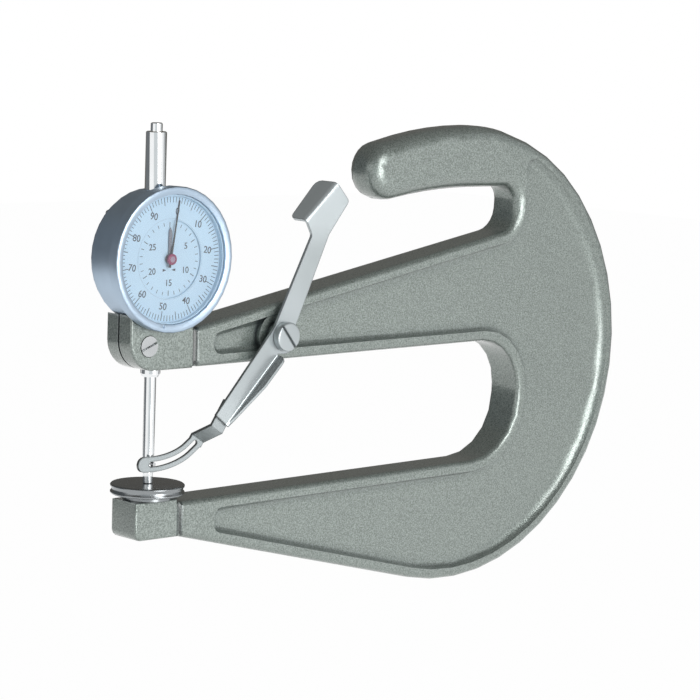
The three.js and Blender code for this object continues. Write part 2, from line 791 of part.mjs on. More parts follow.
function plunger() {
  const low = contactGap + contactLength + seatGap;
  const high = guideTubeTop + plungerTopLength;
  const rod = turnedZ([
    [0, low],
    [plungerRadius, low],
    [plungerRadius, high - rodChamfer],
    [plungerRadius - rodChamfer, high],
    [0, high],
  ], smallFacets);
  const studBore = rodZ(contactStudRadius + seatGap, low - overrun,
    low + contactStudLength, tinyFacets);
  return cut(rod, rackCutter(), studBore, crossHole(liftPinRadius, liftPinHeight, 0),
    crossHole(guidePinRadius, dialHeight - guidePinDrop, Math.PI / 2));
}

function contactPoint() {
  const top = contactGap + contactLength;
  return turnedZ([
    [0, contactGap],
    [contactRadius - rodChamfer, contactGap],
    [contactRadius, contactGap + rodChamfer],
    [contactRadius, top],
    [contactStudRadius, top],
    [contactStudRadius, top + contactStudLength],
    [0, top + contactStudLength],
  ], smallFacets);
}

function stem() {
  const inside = dialHeight - caseInner;
  const sleeve = bushRadius + seatGap;
  const sleeveTop = stemEnd + bushLength + seatGap;
  return turnedZ([
    [boreRadius, sleeveTop],
    [sleeve, sleeveTop],
    [sleeve, stemEnd],
    [sleeve + stemLip, stemEnd],
    [stemRadius, stemEnd + stemChamfer],
    [stemRadius, inside],
    [boreRadius, inside],
    [boreRadius, sleeveTop],
  ], smallFacets);
}

function guideTube() {
  const inside = dialHeight + caseInner;
  const sleeve = bushRadius + seatGap;
  const sleeveLow = guideTubeTop - bushLength - seatGap;
  return turnedZ([
    [boreRadius, inside],
    [tubeRadius, inside],
    [tubeRadius, guideTubeTop - rodChamfer],
    [tubeRadius - rodChamfer, guideTubeTop],
    [sleeve, guideTubeTop],
    [sleeve, sleeveLow],
    [boreRadius, sleeveLow],
    [boreRadius, inside],
  ], smallFacets);
}

function bush(low) {
  const inner = plungerRadius + seatGap;
  const high = low + bushLength;
  return turnedZ([
    [inner, low], [bushRadius, low], [bushRadius, high], [inner, high], [inner, low],
  ], smallFacets);
}

function guidePin() {
  return rodY(guidePinRadius, -seatGap, -guidePinReach, tinyFacets).rotateZ(Math.PI / 2);
}

function liftPin() {
  return rodY(liftPinRadius, -seatGap, -liftPinReach, tinyFacets);
}

// Dial case, about the dial axis
function coverScrewPlaces() {
  return Array.from({ length: coverScrewCount }, (_, i) => {
    const angle = (2 * Math.PI * (i + 0.5)) / coverScrewCount;
    return [coverScrewCircle * Math.cos(angle), coverScrewCircle * Math.sin(angle)];
  });
}

function coverScrewHoles() {
  return coverScrewPlaces().map(([x, z]) => (
    rodY(coverScrewRadius + seatGap, coverFace + overrun, 0, tinyFacets).translate(x, 0, z)));
}

function dialCase() {
  const half = ringSection / 2 + seatGap;
  const flangeFace = seatGap - backPlateRear;
  const shell = turnedY([
    [caseInner, -caseFront],
    [caseRadius, -caseFront],
    [caseRadius, -ringSetback - half],
    [caseRadius - ringGroove, -ringSetback - half],
    [caseRadius - ringGroove, -ringSetback + half],
    [caseRadius, -ringSetback + half],
    [caseRadius, caseRear - caseEdge],
    [caseRadius - caseEdge, caseRear],
    [caseInner - caseFlange, caseRear],
    [caseInner - caseFlange, flangeFace],
    [caseInner, flangeFace],
    [caseInner, -caseFront],
  ], dialFacets);
  const outside = caseRadius + overrun;
  const inside = caseInner - caseFlange - overrun;
  const stemHole = rodZ(stemRadius + seatGap, -outside, -inside, smallFacets);
  const tubeHole = rodZ(tubeRadius + seatGap, inside, outside, smallFacets);
  return cut(shell, stemHole, tubeHole, ...coverScrewHoles());
}

function rearCover() {
  const front = caseRear + seatGap;
  const radius = caseRadius - caseEdge;
  return cut(turnedY([
    [0, front],
    [radius, front],
    [radius, coverFace - coverChamfer],
    [radius - coverChamfer, coverFace],
    [0, coverFace],
  ], dialFacets), ...coverScrewHoles());
}

function coverScrew() {
  const under = coverFace + fineGap;
  const face = under + coverScrewHeight;
  const tip = plateThickness - backPlateRear;
  const slot = block(-coverScrewHead - overrun, coverScrewHead + overrun,
    face - coverScrewSlot, face + overrun, -coverScrewSlot / 2, coverScrewSlot / 2);
  return cut(turnedY([
    [0, tip],
    [coverScrewRadius, tip],
    [coverScrewRadius, under],
    [coverScrewHead, under],
    [coverScrewHead, face],
    [0, face],
  ], tinyFacets), slot);
}

// The ring round the crystal slopes inwards and is split at one place
function bezel() {
  const half = ringSection / 2 + runGap;
  const crest = bezelBore + bezelLip;
  const body = turnedY([
    [bezelSkirt, -bezelRear],
    [bezelRadius, -bezelRear],
    [bezelRadius, bezelEdgeDrop - bezelFront],
    [bezelRadius - bezelEdge, bezelShoulderDrop - bezelFront],
    [crest, -bezelFront],
    [bezelBore, bezelLipDrop - bezelFront],
    [bezelBore, -bezelStep],
    [bezelSkirt, -bezelStep],
    [bezelSkirt, -ringSetback - half],
    [bezelSkirt + ringGroove, -ringSetback - half],
    [bezelSkirt + ringGroove, -ringSetback + half],
    [bezelSkirt, -ringSetback + half],
    [bezelSkirt, -bezelRear],
  ], dialFacets);
  const notch = block(-bezelNotch / 2, bezelNotch / 2, -bezelFront - overrun,
    bezelLipDrop - bezelFront, bezelBore - overrun, crest);
  return cut(body, notch.rotateY(bezelNotchTurn));
}

function crystal() {
  return rodY(scaleRadius, -crystalRear, -crystalFront, dialFacets);
}

function ring(inner, outer, rear, front, facets) {
  return turnedY([[inner, front], [outer, front], [outer, rear], [inner, rear], [inner, front]], facets);
}

// The outer scale turns with the bezel, and the inner one stands on the movement
function dialSpacer() {
  return ring(spacerInner, scaleRadius, -scaleFront - seatGap, seatGap - crystalRear, dialFacets);
}

function scaleRing() {
  return ring(scaleBore, scaleRadius, -scaleRear, -scaleFront, dialFacets);
}

function dialPlate() {
  const feet = Array.from({ length: dialFootCount }, (_, i) => {
    const angle = dialFootTurn + (2 * Math.PI * i) / dialFootCount;
    return rodY(dialFootRadius, -frontPlateRear - plateThickness - seatGap,
      -(dialPlateRear + dialPlateFront) / 2, tinyFacets)
      .translate(dialFootCircle * Math.cos(angle), 0, dialFootCircle * Math.sin(angle));
  });
  return joined(ring(hourTubeRadius + runGap * 2, scaleBore + dialPlateLap,
    -dialPlateRear, -dialPlateFront, roundFacets), ...feet);
}

function retainingRing() {
  const middle = caseRadius + runGap / 2;
  const half = ringSection / 2;
  return ring(middle - half, middle + half, half - ringSetback, -half - ringSetback, dialFacets);
}

// Movement, about the dial axis
function pillarPlaces() {
  return [0, Math.PI, thirdPillarTurn].map((angle) => (
    [pillarCircle * Math.cos(angle), pillarCircle * Math.sin(angle)]));
}

function arborHoles(clearance) {
  return [[bigWheelX, bigWheelZ], [takeUpX, takeUpZ]].map(([x, z]) => (
    circle(x, z, arborRadius + clearance, tinyFacets)));
}

function movementBackPlate() {
  return plate(circle(0, 0, caseInner - seatGap), -backPlateRear, -backPlateRear - plateThickness,
    arborHoles(fineGap));
}

function movementFrontPlate() {
  const screwHoles = pillarPlaces().map(([x, z]) => (
    circle(x, z, pillarScrewRadius + fineGap, tinyFacets)));
  return plate(circle(0, 0, frontPlateRadius), -frontPlateRear, -frontPlateRear - plateThickness,
    [circle(0, 0, arborRadius + runGap, tinyFacets), ...arborHoles(fineGap), ...screwHoles]);
}

function centreBridge() {
  const outline = [
    ...arc(pillarCircle, 0, bridgeHalfWidth, -Math.PI / 2, Math.PI / 2, 6),
    ...arc(-pillarCircle, 0, bridgeHalfWidth, Math.PI / 2, Math.PI * 1.5, 6),
  ];
  const pillarHoles = [-pillarCircle, pillarCircle].map((x) => (
    circle(x, 0, pillarRadius + fineGap, tinyFacets)));
  return plate(outline, -bridgeRear, -bridgeRear - plateThickness,
    [circle(0, 0, arborRadius + fineGap, tinyFacets), ...pillarHoles]);
}

function pillar() {
  const rear = -backPlateRear - plateThickness - fineGap;
  const front = fineGap - frontPlateRear;
  const bore = pillarScrewRadius + fineGap;
  return turnedY([
    [0, rear],
    [pillarRadius, rear],
    [pillarRadius, front],
    [bore, front],
    [bore, front + pillarScrewLength],
    [0, front + pillarScrewLength],
  ], tinyFacets);
}

function pillarScrew() {
  const under = -frontPlateRear - plateThickness - fineGap;
  return turnedY([
    [0, pillarScrewLength - frontPlateRear],
    [pillarScrewRadius, pillarScrewLength - frontPlateRear],
    [pillarScrewRadius, under],
    [pillarScrewHead, under],
    [pillarScrewHead, under - pillarScrewHeight],
    [0, under - pillarScrewHeight],
  ], tinyFacets);
}

function toothedOutline(teeth, radius, depth) {
  return Array.from({ length: teeth * 2 }, (_, i) => {
    const angle = (Math.PI * i) / teeth;
    const reach = i % 2 ? radius - depth : radius;
    return [reach * Math.cos(angle), reach * Math.sin(angle)];
  });
}

function arborBore() {
  return circle(0, 0, arborRadius + fineGap, tinyFacets);
}

function wheel(rear) {
  const sector = (2 * Math.PI) / wheelSpokes;
  const open = (sector * wheelWindowShare) / 2;
  const windows = Array.from({ length: wheelSpokes }, (_, i) => {
    const middle = sector * i;
    return [
      ...arc(0, 0, wheelRadius * wheelRimShare, middle - open, middle + open, 4),
      ...arc(0, 0, wheelRadius * wheelHubShare, middle + open, middle - open, 2),
    ];
  });
  return plate(toothedOutline(wheelTeeth, wheelRadius, toothDepth), -rear, -rear - gearThickness,
    [arborBore(), ...windows]);
}

function rackPinion() {
  const pinion = plate(toothedOutline(rackPinionTeeth, rackPinionRadius, toothDepth),
    rackPinionRadius, -rackPinionRadius);
  const arbor = rodY(arborRadius, -backPlateRear, -motionWorkRear - gearThickness, tinyFacets);
  return joined(arbor, pinion);
}

function hourPinion() {
  return plate(toothedOutline(hourPinionTeeth, hourPinionRadius, toothDepth),
    -motionWorkRear, -motionWorkRear - gearThickness, [arborBore()]);
}

function centreArbor() {
  const pinion = plate(toothedOutline(centrePinionTeeth, centrePinionRadius, centrePinionTooth),
    -bridgeRear - plateThickness - runGap, -takeUpRear - gearThickness - seatGap);
  const arbor = rodY(arborRadius, -bridgeRear, -mainHandRear - handThickness / 2, tinyFacets);
  return joined(arbor, pinion);
}

function hourWheel() {
  const bore = arborRadius + fineGap;
  const disc = plate(toothedOutline(hourWheelTeeth, hourWheelRadius, toothDepth),
    -motionWorkRear, -motionWorkRear - gearThickness, [circle(0, 0, bore, tinyFacets)]);
  const tube = ring(bore, hourTubeRadius, -motionWorkRear, -turnHandRear - handThickness, tinyFacets);
  return joined(disc, tube);
}

function takeUpArbor() {
  return rodY(arborRadius, -backPlateRear, -frontPlateRear - plateThickness, tinyFacets);
}

function hairspring() {
  const inner = arborRadius + fineGap + hairspringWire / 2;
  const steps = hairspringTurns * springTurnSteps;
  const side = (offset) => Array.from({ length: steps + 1 }, (_, i) => {
    const angle = (2 * Math.PI * hairspringTurns * i) / steps;
    const radius = THREE.MathUtils.lerp(inner, hairspringRadius, i / steps) + offset;
    return [radius * Math.cos(angle), radius * Math.sin(angle)];
  });
  const outline = [...side(hairspringWire / 2), ...side(-hairspringWire / 2).toReversed()];
  return plate(outline, -hairspringRear, -hairspringRear - hairspringWire);
}

function turnHand() {
  const half = turnHandHalfWidth;
  const start = Math.PI / 2 + Math.asin(half / turnHandBoss);
  const outline = [
    ...arc(0, 0, turnHandBoss, start, 3 * Math.PI - start, 14),
    [half, turnHandLength - half * 2],
    [0, turnHandLength],
    [-half, turnHandLength - half * 2],
  ];
  return plate(outline, -turnHandRear, -turnHandRear - handThickness,
    [circle(0, 0, hourTubeRadius + fineGap, tinyFacets)]);
}

function mainHand() {
  const start = Math.asin(mainHandHalfWidth / mainHandBoss);
  const outline = [
    [mainHandTipHalfWidth, mainHandLength],
    [-mainHandTipHalfWidth, mainHandLength],
    ...arc(0, 0, mainHandBoss, Math.PI / 2 + start, Math.PI * 1.5 - start, 6),
    [-mainHandTailHalfWidth, -mainHandTail],
    [mainHandTailHalfWidth, -mainHandTail],
    ...arc(0, 0, mainHandBoss, start - Math.PI / 2, Math.PI / 2 - start, 6),
  ];
  return plate(outline, -mainHandRear, -mainHandRear - handThickness, [arborBore()])
    .rotateY(dialTurn);
}

function handHub() {
  const rear = -mainHandRear - handThickness - fineGap;
  const front = runGap - crystalRear;
  return turnedY([
    [0, rear],
    [handHubRadius, rear],
    [handHubRadius, front + handThickness],
    [handHubRadius - handThickness, front],
    [0, front],
  ], smallFacets);
}

// Grooved rail that keeps the guide pin, and so the rack, in line
function guideRail() {
  const low = -guidePinDrop - guidePinRadius - guideRailEnd;
  const high = measuringRange - guidePinDrop + guidePinRadius + guideRailEnd;
  const left = guideRailOffset;
  const right = guideRailOffset + guideRailThickness;
  const half = guidePinRadius + runGap;
  return cut(
    block(left, right, -guideRailFront, -backPlateRear - plateThickness - fineGap, low, high),
    block(left - overrun, right + overrun, -half, half, low + guideRailEnd / 2, high - guideRailEnd / 2),
  );
}

// Coiled return spring, as turned ridges round a core
function returnSpring() {
  const top = -guidePinDrop - guidePinRadius - runGap;
  const low = top - returnSpringLength;
  const core = returnSpringRadius - returnSpringWire;
  const rise = returnSpringLength / returnSpringCoils;
  const profile = [[0, low], [core, low]];
  for (let i = 0; i < returnSpringCoils; i += 1) {
    profile.push([returnSpringRadius, low + (i + 1 / 2) * rise], [core, low + (i + 1) * rise]);
  }
  return turnedZ([...profile, [0, top]], tinyFacets);
}

// Lever pivot, about the pivot axis
function pivotScrew() {
  const under = -leverFront - fineGap;
  const face = under - pivotHeadHeight;
  return slottedScrew([
    [0, -pivotShankEnd],
    [pivotScrewRadius, -pivotShankEnd],
    [pivotScrewRadius, under],
    [pivotHeadRadius, under],
    [pivotHeadRadius, face + pivotHeadChamfer],
    [pivotHeadRadius - pivotHeadChamfer, face],
    [0, face],
  ], pivotHeadRadius, face, pivotSlotWidth, pivotSlotDepth, pivotSlotTurn, roundFacets);
}

function pivotWasher() {
  const rear = -pivotBossFront - fineGap;
  return ring(pivotScrewRadius + fineGap, washerRadius, rear, rear - washerThickness, smallFacets);
}

// A point at a length along a turned line and at a distance to its left
function beside(turn, length, left) {
  return [
    length * Math.cos(turn) - left * Math.sin(turn),
    length * Math.sin(turn) + left * Math.cos(turn),
  ];
}

function offsetFrom([x, z], turn, length, left) {
  const [dx, dz] = beside(turn, length, left);
  return [x + dx, z + dz];
}

function tabCorners() {
  const notch = beside(upperStripTurn, upperStripLength, upperStripLeft);
  const inner = offsetFrom(notch, tabTurn, tabShift, tabNotch);
  const outer = offsetFrom(inner, tabTurn, tabLength, 0);
  return { notch, inner, outer };
}

// Right-hand edge of the lower strip, where the stiffening flange is folded
function stripFold() {
  const low = beside(lowerStripTurn, -lowerStripLength, lowerStripLeft - lowerStripWidth);
  const high = beside(lowerStripTurn, -stripFlangeStart, -lowerStripRight);
  const [dx, dz] = [high[0] - low[0], high[1] - low[1]];
  return { low, high, turn: Math.atan2(dz, dx), length: Math.hypot(dx, dz) };
}

function leverSheet() {
  const { notch, inner, outer } = tabCorners();
  const fold = stripFold();
  const eyeStart = lowerStripTurn - Math.PI + Math.asin(lowerStripRight / eyeRadius);
  const eyeEnd = upperStripTurn - Math.asin(upperStripRight / eyeRadius);
  const elbow = (upperStripTurn + lowerStripTurn + Math.PI) / 2;
  const elbowReach = upperStripLeft / Math.cos((upperStripTurn - lowerStripTurn) / 2);
  const outline = roundedPath([
    beside(lowerStripTurn, -lowerStripLength, lowerStripLeft),
    offsetFrom(fold.low, fold.turn, 0, leverBend),
    offsetFrom(fold.high, fold.turn, 0, leverBend),
    ...arc(0, 0, eyeRadius, eyeStart, eyeEnd, 9),
    [...beside(upperStripTurn, upperStripLength + tabThroat, upperStripLeft - upperStripWidth),
      tabThroatRadius],
    [...offsetFrom(outer, tabTurn, 0, -tabWidth), tabCorner],
    offsetFrom(outer, tabTurn, 0, -leverBend),
    offsetFrom(inner, tabTurn, 0, -leverBend),
    [...notch, tabCorner],
    [...beside(elbow, elbowReach, 0), tabThroatRadius],
  ], 5);
  return plate(outline, -leverRear, -leverFront,
    [circle(0, 0, pivotScrewRadius + fineGap, smallFacets)]);
}

// A folded edge in its own frame: X along the fold, the leg along +Y, and the sheet to the
// left at side 1 or to the right at side -1. The outline trims the leg.
function foldedEdge(length, leg, outline, side) {
  const arcOf = (radius) => arc(leverBend, leverBend, radius, Math.PI, Math.PI * 1.5, 4);
  const section = [
    ...arcOf(leverBend),
    [leverBend + overrun / 2, 0],
    [leverBend + overrun / 2, leverThickness],
    ...arcOf(leverBend - leverThickness).toReversed(),
    [leverThickness, leg],
    [0, leg],
  ];
  const sectionShape = new THREE.Shape(section.map(([w, y]) => new THREE.Vector2(-side * w, y)));
  const outlineShape = new THREE.Shape(outline.map(([along, y]) => new THREE.Vector2(along, y)));
  const edge = new THREE.ExtrudeGeometry(sectionShape, { depth: length, bevelEnabled: false });
  const trim = new THREE.ExtrudeGeometry(outlineShape, { depth: leg * 2, bevelEnabled: false });
  return common(edge.rotateY(Math.PI / 2), trim.translate(0, 0, -leg));
}

function tabFlange() {
  const leg = tabFlangeDepth + tabFlangeFlare;
  const outline = roundedPath([
    [0, 0],
    [tabLength, 0],
    [tabLength, leg, tabFlangeCorner],
    [0, tabFlangeDepth, tabFlangeCorner],
  ]);
  const [x, z] = tabCorners().inner;
  return foldedEdge(tabLength, leg, outline, -1).rotateY(-tabTurn).translate(x, -leverFront, z);
}

function stripFlange() {
  const { low, turn, length } = stripFold();
  const leg = leverThickness + stripFlangeDepth;
  const outline = roundedPath([
    [0, 0],
    [length, 0],
    [length, leg, tabFlangeCorner],
    [stripFlangeFull, leg, tabThroatRadius],
    [0, leverThickness],
  ]);
  return foldedEdge(length, leg, outline, 1).scale(1, -1, 1).rotateY(-turn)
    .translate(low[0], -leverRear, low[1]);
}

function liftingLever() {
  return joined(leverSheet(), tabFlange(), stripFlange());
}

// Place of the lift pin, seen from the lever, when the plunger has risen by a lift:
// the lever turns by the same angle for each step of lift
function camPoint(lift) {
  const turn = lift / liftPerRadian;
  const x = -pivotOffset;
  const z = liftPinHeight + lift - pivotHeight;
  return [x * Math.cos(turn) - z * Math.sin(turn), x * Math.sin(turn) + z * Math.cos(turn)];
}

function camBand(startLift, halfWidth, past) {
  const endLift = measuringRange + camEndPast;
  const centres = Array.from({ length: camSteps + 1 }, (_, i) => (
    camPoint(THREE.MathUtils.lerp(startLift, endLift, i / camSteps))));
  const [x0, z0] = centres.at(-2);
  const [x1, z1] = centres.at(-1);
  const endTurn = Math.atan2(z1 - z0, x1 - x0);
  centres.push(offsetFrom([x1, z1], endTurn, past, 0));
  const [xs, zs] = centres[0];
  const startTurn = Math.atan2(centres[1][1] - zs, centres[1][0] - xs);
  const sideOf = (side) => centres.map(([x, z], i) => {
    const [px, pz] = centres[Math.max(i - 1, 0)];
    const [nx, nz] = centres[Math.min(i + 1, centres.length - 1)];
    return offsetFrom([x, z], Math.atan2(nz - pz, nx - px), 0, side * halfWidth);
  });
  const [xe, ze] = centres.at(-1);
  return [
    ...arc(xs, zs, halfWidth, startTurn + Math.PI / 2, startTurn + Math.PI * 1.5, 8),
    ...sideOf(-1).slice(1, -1),
    ...arc(xe, ze, halfWidth, endTurn - Math.PI / 2, endTurn + Math.PI / 2, 8),
    ...sideOf(1).slice(1, -1).toReversed(),
  ];
}

// The foot's strip is welded behind the lever and steps back to the plane of the slot
function footStrip() {
  const front = -leverRear + fineGap;
  const rise = front + footFront;
  const bend = Math.atan2(-rise, footRampEnd - footRampStart);
  const shift = footThickness * Math.tan(bend / 2);
  const profile = [
    [footStripStart, front],
    [footRampStart, front],
    [footRampEnd, -footFront],
    [footStripEnd, -footFront],
    [footStripEnd, -footRear],
    [footRampEnd - shift, -footRear],
    [footRampStart - shift, front + footThickness],
    [footStripStart, front + footThickness],
  ];
  const shape = new THREE.Shape(profile.map(([along, y]) => new THREE.Vector2(along, y)));
  const strip = new THREE.ExtrudeGeometry(shape, { depth: footStripWidth, bevelEnabled: false });
  return strip.translate(0, 0, -footStripSide - footStripWidth / 2)
    .rotateY(-footStripTurn - Math.PI);
}

function leverFoot() {
  const band = plate(camBand(footStartLift, footHalfWidth, footPast), -footRear, -footFront);
  const slot = plate(camBand(slotStartLift, footSlotHalfWidth, slotPast),
    overrun - footRear, -overrun - footFront);
  return cut(joined(footStrip(), band), slot);
}

// The whole gauge, as nested groups that stand at the anvil face, the dial and the pivot
const gauge = new THREE.Group();
const measuringLevel = new THREE.Group();
const dialCentre = new THREE.Group();
const leverPivot = new THREE.Group();
measuringLevel.position.z = anvilFace;
dialCentre.position.z = dialHeight;
leverPivot.position.set(pivotOffset, 0, pivotHeight);
gauge.add(measuringLevel);
measuringLevel.add(dialCentre, leverPivot);

function placed(parent, name, geometry, material, x = 0, z = 0) {
  const mesh = named(name, geometry, material);
  mesh.position.set(x, 0, z);
  parent.add(mesh);
}

placed(measuringLevel, 'frame', frame(), hammerPaint);
placed(measuringLevel, 'anvil', anvil(), chrome);
placed(measuringLevel, 'clamp_screw', clampScrew(), chrome, -clampScrewOffset, clampScrewHeight);
placed(measuringLevel, 'stem', stem(), chrome);
placed(measuringLevel, 'lower_bush', bush(stemEnd), brass);
placed(measuringLevel, 'guide_tube', guideTube(), chrome);
placed(measuringLevel, 'upper_bush', bush(guideTubeTop - bushLength), brass);
placed(measuringLevel, 'plunger', plunger(), chrome);
placed(measuringLevel, 'contact_point', contactPoint(), chrome);
placed(measuringLevel, 'lift_pin', liftPin(), steel, 0, liftPinHeight);

placed(dialCentre, 'dial_case', dialCase(), satinChrome);
placed(dialCentre, 'rear_cover', rearCover(), satinChrome);
coverScrewPlaces().forEach(([x, z], i) => (
  placed(dialCentre, `rear_cover_screw_${i + 1}`, coverScrew(), steel, x, z)));
placed(dialCentre, 'bezel', bezel(), satinChrome);
placed(dialCentre, 'bezel_retaining_ring', retainingRing(), steel);
placed(dialCentre, 'crystal', crystal(), clearCrystal);
placed(dialCentre, 'dial_spacer', dialSpacer(), dialFace);
placed(dialCentre, 'scale_ring', scaleRing(), dialFace);
placed(dialCentre, 'dial_plate', dialPlate(), dialFace);
placed(dialCentre, 'guide_pin', guidePin(), steel, 0, -guidePinDrop);
placed(dialCentre, 'guide_rail', guideRail(), brass);
placed(dialCentre, 'return_spring', returnSpring(), steel, guidePinReach - returnSpringRadius / 2);
placed(dialCentre, 'movement_back_plate', movementBackPlate(), brass);
placed(dialCentre, 'movement_front_plate', movementFrontPlate(), brass);
placed(dialCentre, 'centre_bridge', centreBridge(), brass);
pillarPlaces().forEach(([x, z], i) => {
  placed(dialCentre, `pillar_${i + 1}`, pillar(), brass, x, z);
  placed(dialCentre, `pillar_screw_${i + 1}`, pillarScrew(), steel, x, z);
});
placed(dialCentre, 'rack_pinion', rackPinion(), steel, bigWheelX, bigWheelZ);
placed(dialCentre, 'intermediate_wheel', wheel(bigWheelRear), brass, bigWheelX, bigWheelZ);
placed(dialCentre, 'hour_pinion', hourPinion(), steel, bigWheelX, bigWheelZ);
placed(dialCentre, 'take_up_arbor', takeUpArbor(), steel, takeUpX, takeUpZ);
placed(dialCentre, 'take_up_wheel', wheel(takeUpRear), brass, takeUpX, takeUpZ);
placed(dialCentre, 'hairspring', hairspring(), steel, takeUpX, takeUpZ);
placed(dialCentre, 'centre_arbor', centreArbor(), steel);
placed(dialCentre, 'main_hand', mainHand(), handBlack);
placed(dialCentre, 'hand_hub', handHub(), hubRed);
placed(dialCentre, 'hour_wheel', hourWheel(), brass);
placed(dialCentre, 'revolution_hand', turnHand(), handBlack);

placed(leverPivot, 'lever_washer', pivotWasher(), steel);
placed(leverPivot, 'lifting_lever', liftingLever(), sheetSteel);
placed(leverPivot, 'lever_foot', leverFoot(), sheetSteel);
placed(leverPivot, 'lever_pivot_screw', pivotScrew(), sheetSteel);

export default gauge;
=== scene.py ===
"""Dial thickness gauge: finishes, dial markings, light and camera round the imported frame.

Lengths are metres in the frame's own axes: +Z up, the dial facing -Y.
"""

import json
import math

import bmesh
import bpy
from mathutils import Euler, Matrix, Vector

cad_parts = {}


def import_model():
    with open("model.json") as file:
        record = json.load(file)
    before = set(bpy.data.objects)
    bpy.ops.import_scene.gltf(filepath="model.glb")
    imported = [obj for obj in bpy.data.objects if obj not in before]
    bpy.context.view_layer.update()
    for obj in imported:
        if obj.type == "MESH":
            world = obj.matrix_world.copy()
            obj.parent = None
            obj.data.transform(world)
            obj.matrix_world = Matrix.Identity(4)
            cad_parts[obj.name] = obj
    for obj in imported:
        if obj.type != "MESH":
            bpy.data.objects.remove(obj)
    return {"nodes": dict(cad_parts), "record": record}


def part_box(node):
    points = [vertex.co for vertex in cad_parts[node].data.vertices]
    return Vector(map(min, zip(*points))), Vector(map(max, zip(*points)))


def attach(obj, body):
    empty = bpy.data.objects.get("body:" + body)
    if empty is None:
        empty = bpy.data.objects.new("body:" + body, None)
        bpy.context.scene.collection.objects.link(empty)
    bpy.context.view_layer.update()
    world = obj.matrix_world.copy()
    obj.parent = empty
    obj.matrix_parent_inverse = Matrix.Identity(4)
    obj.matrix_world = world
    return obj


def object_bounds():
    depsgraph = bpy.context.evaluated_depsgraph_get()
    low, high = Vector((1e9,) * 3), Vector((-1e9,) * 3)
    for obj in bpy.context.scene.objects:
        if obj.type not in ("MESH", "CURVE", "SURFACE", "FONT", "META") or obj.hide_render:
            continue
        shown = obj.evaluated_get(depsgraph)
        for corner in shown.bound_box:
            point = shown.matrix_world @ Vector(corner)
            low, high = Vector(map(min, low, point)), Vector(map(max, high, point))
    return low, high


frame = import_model()
CAD_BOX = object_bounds()
NODES = frame["nodes"]
CENTRE = (CAD_BOX[0] + CAD_BOX[1]) / 2

# Camera, fitted to the photograph's frame
IMAGE_SIZE = 700
FOCAL_PIXELS = 2742
ANVIL_PIXEL = (147.5, 483.1)
SENSOR_WIDTH = 36
CAMERA_DISTANCE = 1.1
CAMERA_AZIMUTH = math.radians(-42.25)
CAMERA_ELEVATION = math.radians(7.42)
CAMERA_ROLL = math.radians(2.02)

# Outer scale, as radii about the dial axis. Each tick row is: every how many, length, width.
SCALE_TURN = math.radians(9.3)
SCALE_DIVISIONS = 100
SCALE_NUMBER_STEP = 10
SCALE_TICK_OUTER = 0.0246
SCALE_TICKS = (
    (10, 0.0038, 0.00030),
    (5, 0.0033, 0.00030),
    (1, 0.0022, 0.00024),
)
SCALE_NUMBER_RADIUS = 0.0190
SCALE_NUMBER_HEIGHT = 0.0027
SCALE_LINE_RADIUS = 0.0160
SCALE_LINE_WIDTH = 0.00012
SCALE_LINE_STEPS = 96

# Inner scale
COUNTER_DIVISIONS = 30
COUNTER_TICK_OUTER = 0.0146
COUNTER_TICKS = (
    (5, 0.0021, 0.00030),
    (1, 0.0014, 0.00024),
)
COUNTER_NUMBERS = (5, 10, 15, 20, 25)
COUNTER_NUMBER_RADIUS = 0.0096
COUNTER_NUMBER_HEIGHT = 0.0025
ARROW_PLACES = ((-0.0021, 1), (0.0023, -1))
ARROW_DROP = 0.0044
ARROW_LENGTH = 0.0019
ARROW_HALF_HEIGHT = 0.0006

# Print
FONT_CAP_SHARE = 0.7
FONT_WEIGHT = 0.00004
FONT_STEPS = 4
PRINT_RISE = 0.00003
PRINT_THICKNESS = 0.00003
INK_COLOUR = (0.05, 0.062, 0.085)
PALE_INK_COLOUR = (0.3, 0.4, 0.5)
THIN_PRINT_GAIN = 1.6
THIN_PRINT_LIFT = 0.01

# Range in which a noise texture has most of its values
NOISE_LOW = 0.3
NOISE_HIGH = 0.7

# Colours
WHITE = (1, 1, 1)
BLACK = (0, 0, 0)
PAINT_DARK = (0.15, 0.178, 0.16)
PAINT_LIGHT = (0.39, 0.445, 0.418)
# Painted shade in the paint's hollows and corners
HOLLOW_SHADE = (0.5, 0.53, 0.55)
CORNER_SHADE = (0.4, 0.43, 0.45)
# Painted highlight added on the paint's sharp outer edges
EDGE_HIGHLIGHT = (0.25, 0.26, 0.27)
# Painted shade at the steps of the arms
STEP_LINE_SHADE = (0.42, 0.44, 0.45)
STEP_SHADE_DARK = (0.1, 0.105, 0.11)
STEP_SHADE_LIGHT = (0.45, 0.47, 0.48)
CHROME = (0.91, 0.93, 0.94)
STEEL = (0.56, 0.57, 0.58)
SCREW_STEEL = (0.60, 0.62, 0.63)
GROUND_STEEL = (0.33, 0.35, 0.36)
BRASS = (0.72, 0.53, 0.26)
SATIN_DARK = (0.44, 0.55, 0.67)
SATIN_LIGHT = (0.51, 0.63, 0.76)
SHEET_DARK = (0.50, 0.55, 0.56)
SHEET_LIGHT = (0.57, 0.62, 0.64)
# Painted shade on the lower sides of sheet steel and in its bends
SHEET_SIDE_SHADE = (0.4, 0.39, 0.38)
SCREW_SIDE_SHADE = (0.9, 0.9, 0.9)
BEND_SHADE = (0.4, 0.4, 0.4)
DIAL_DARK = (0.52, 0.71, 0.87)
DIAL_LIGHT = (0.55, 0.75, 0.91)
HAND_BLACK = (0.015, 0.016, 0.02)
HAND_GREY = (0.16, 0.17, 0.2)
HUB_CENTRE = (0.34, 0.25, 0.34)
HUB_RED = (0.26, 0.02, 0.09)
CRYSTAL_TINT = (0.9, 0.95, 1.0, 1)

# How far from a place its corners and edges still shade it
HOLLOW_REACH = 0.005
CORNER_REACH = 0.0025
EDGE_REACH = 0.0012
BEND_REACH = 0.0008
OPENNESS_SAMPLES = 8
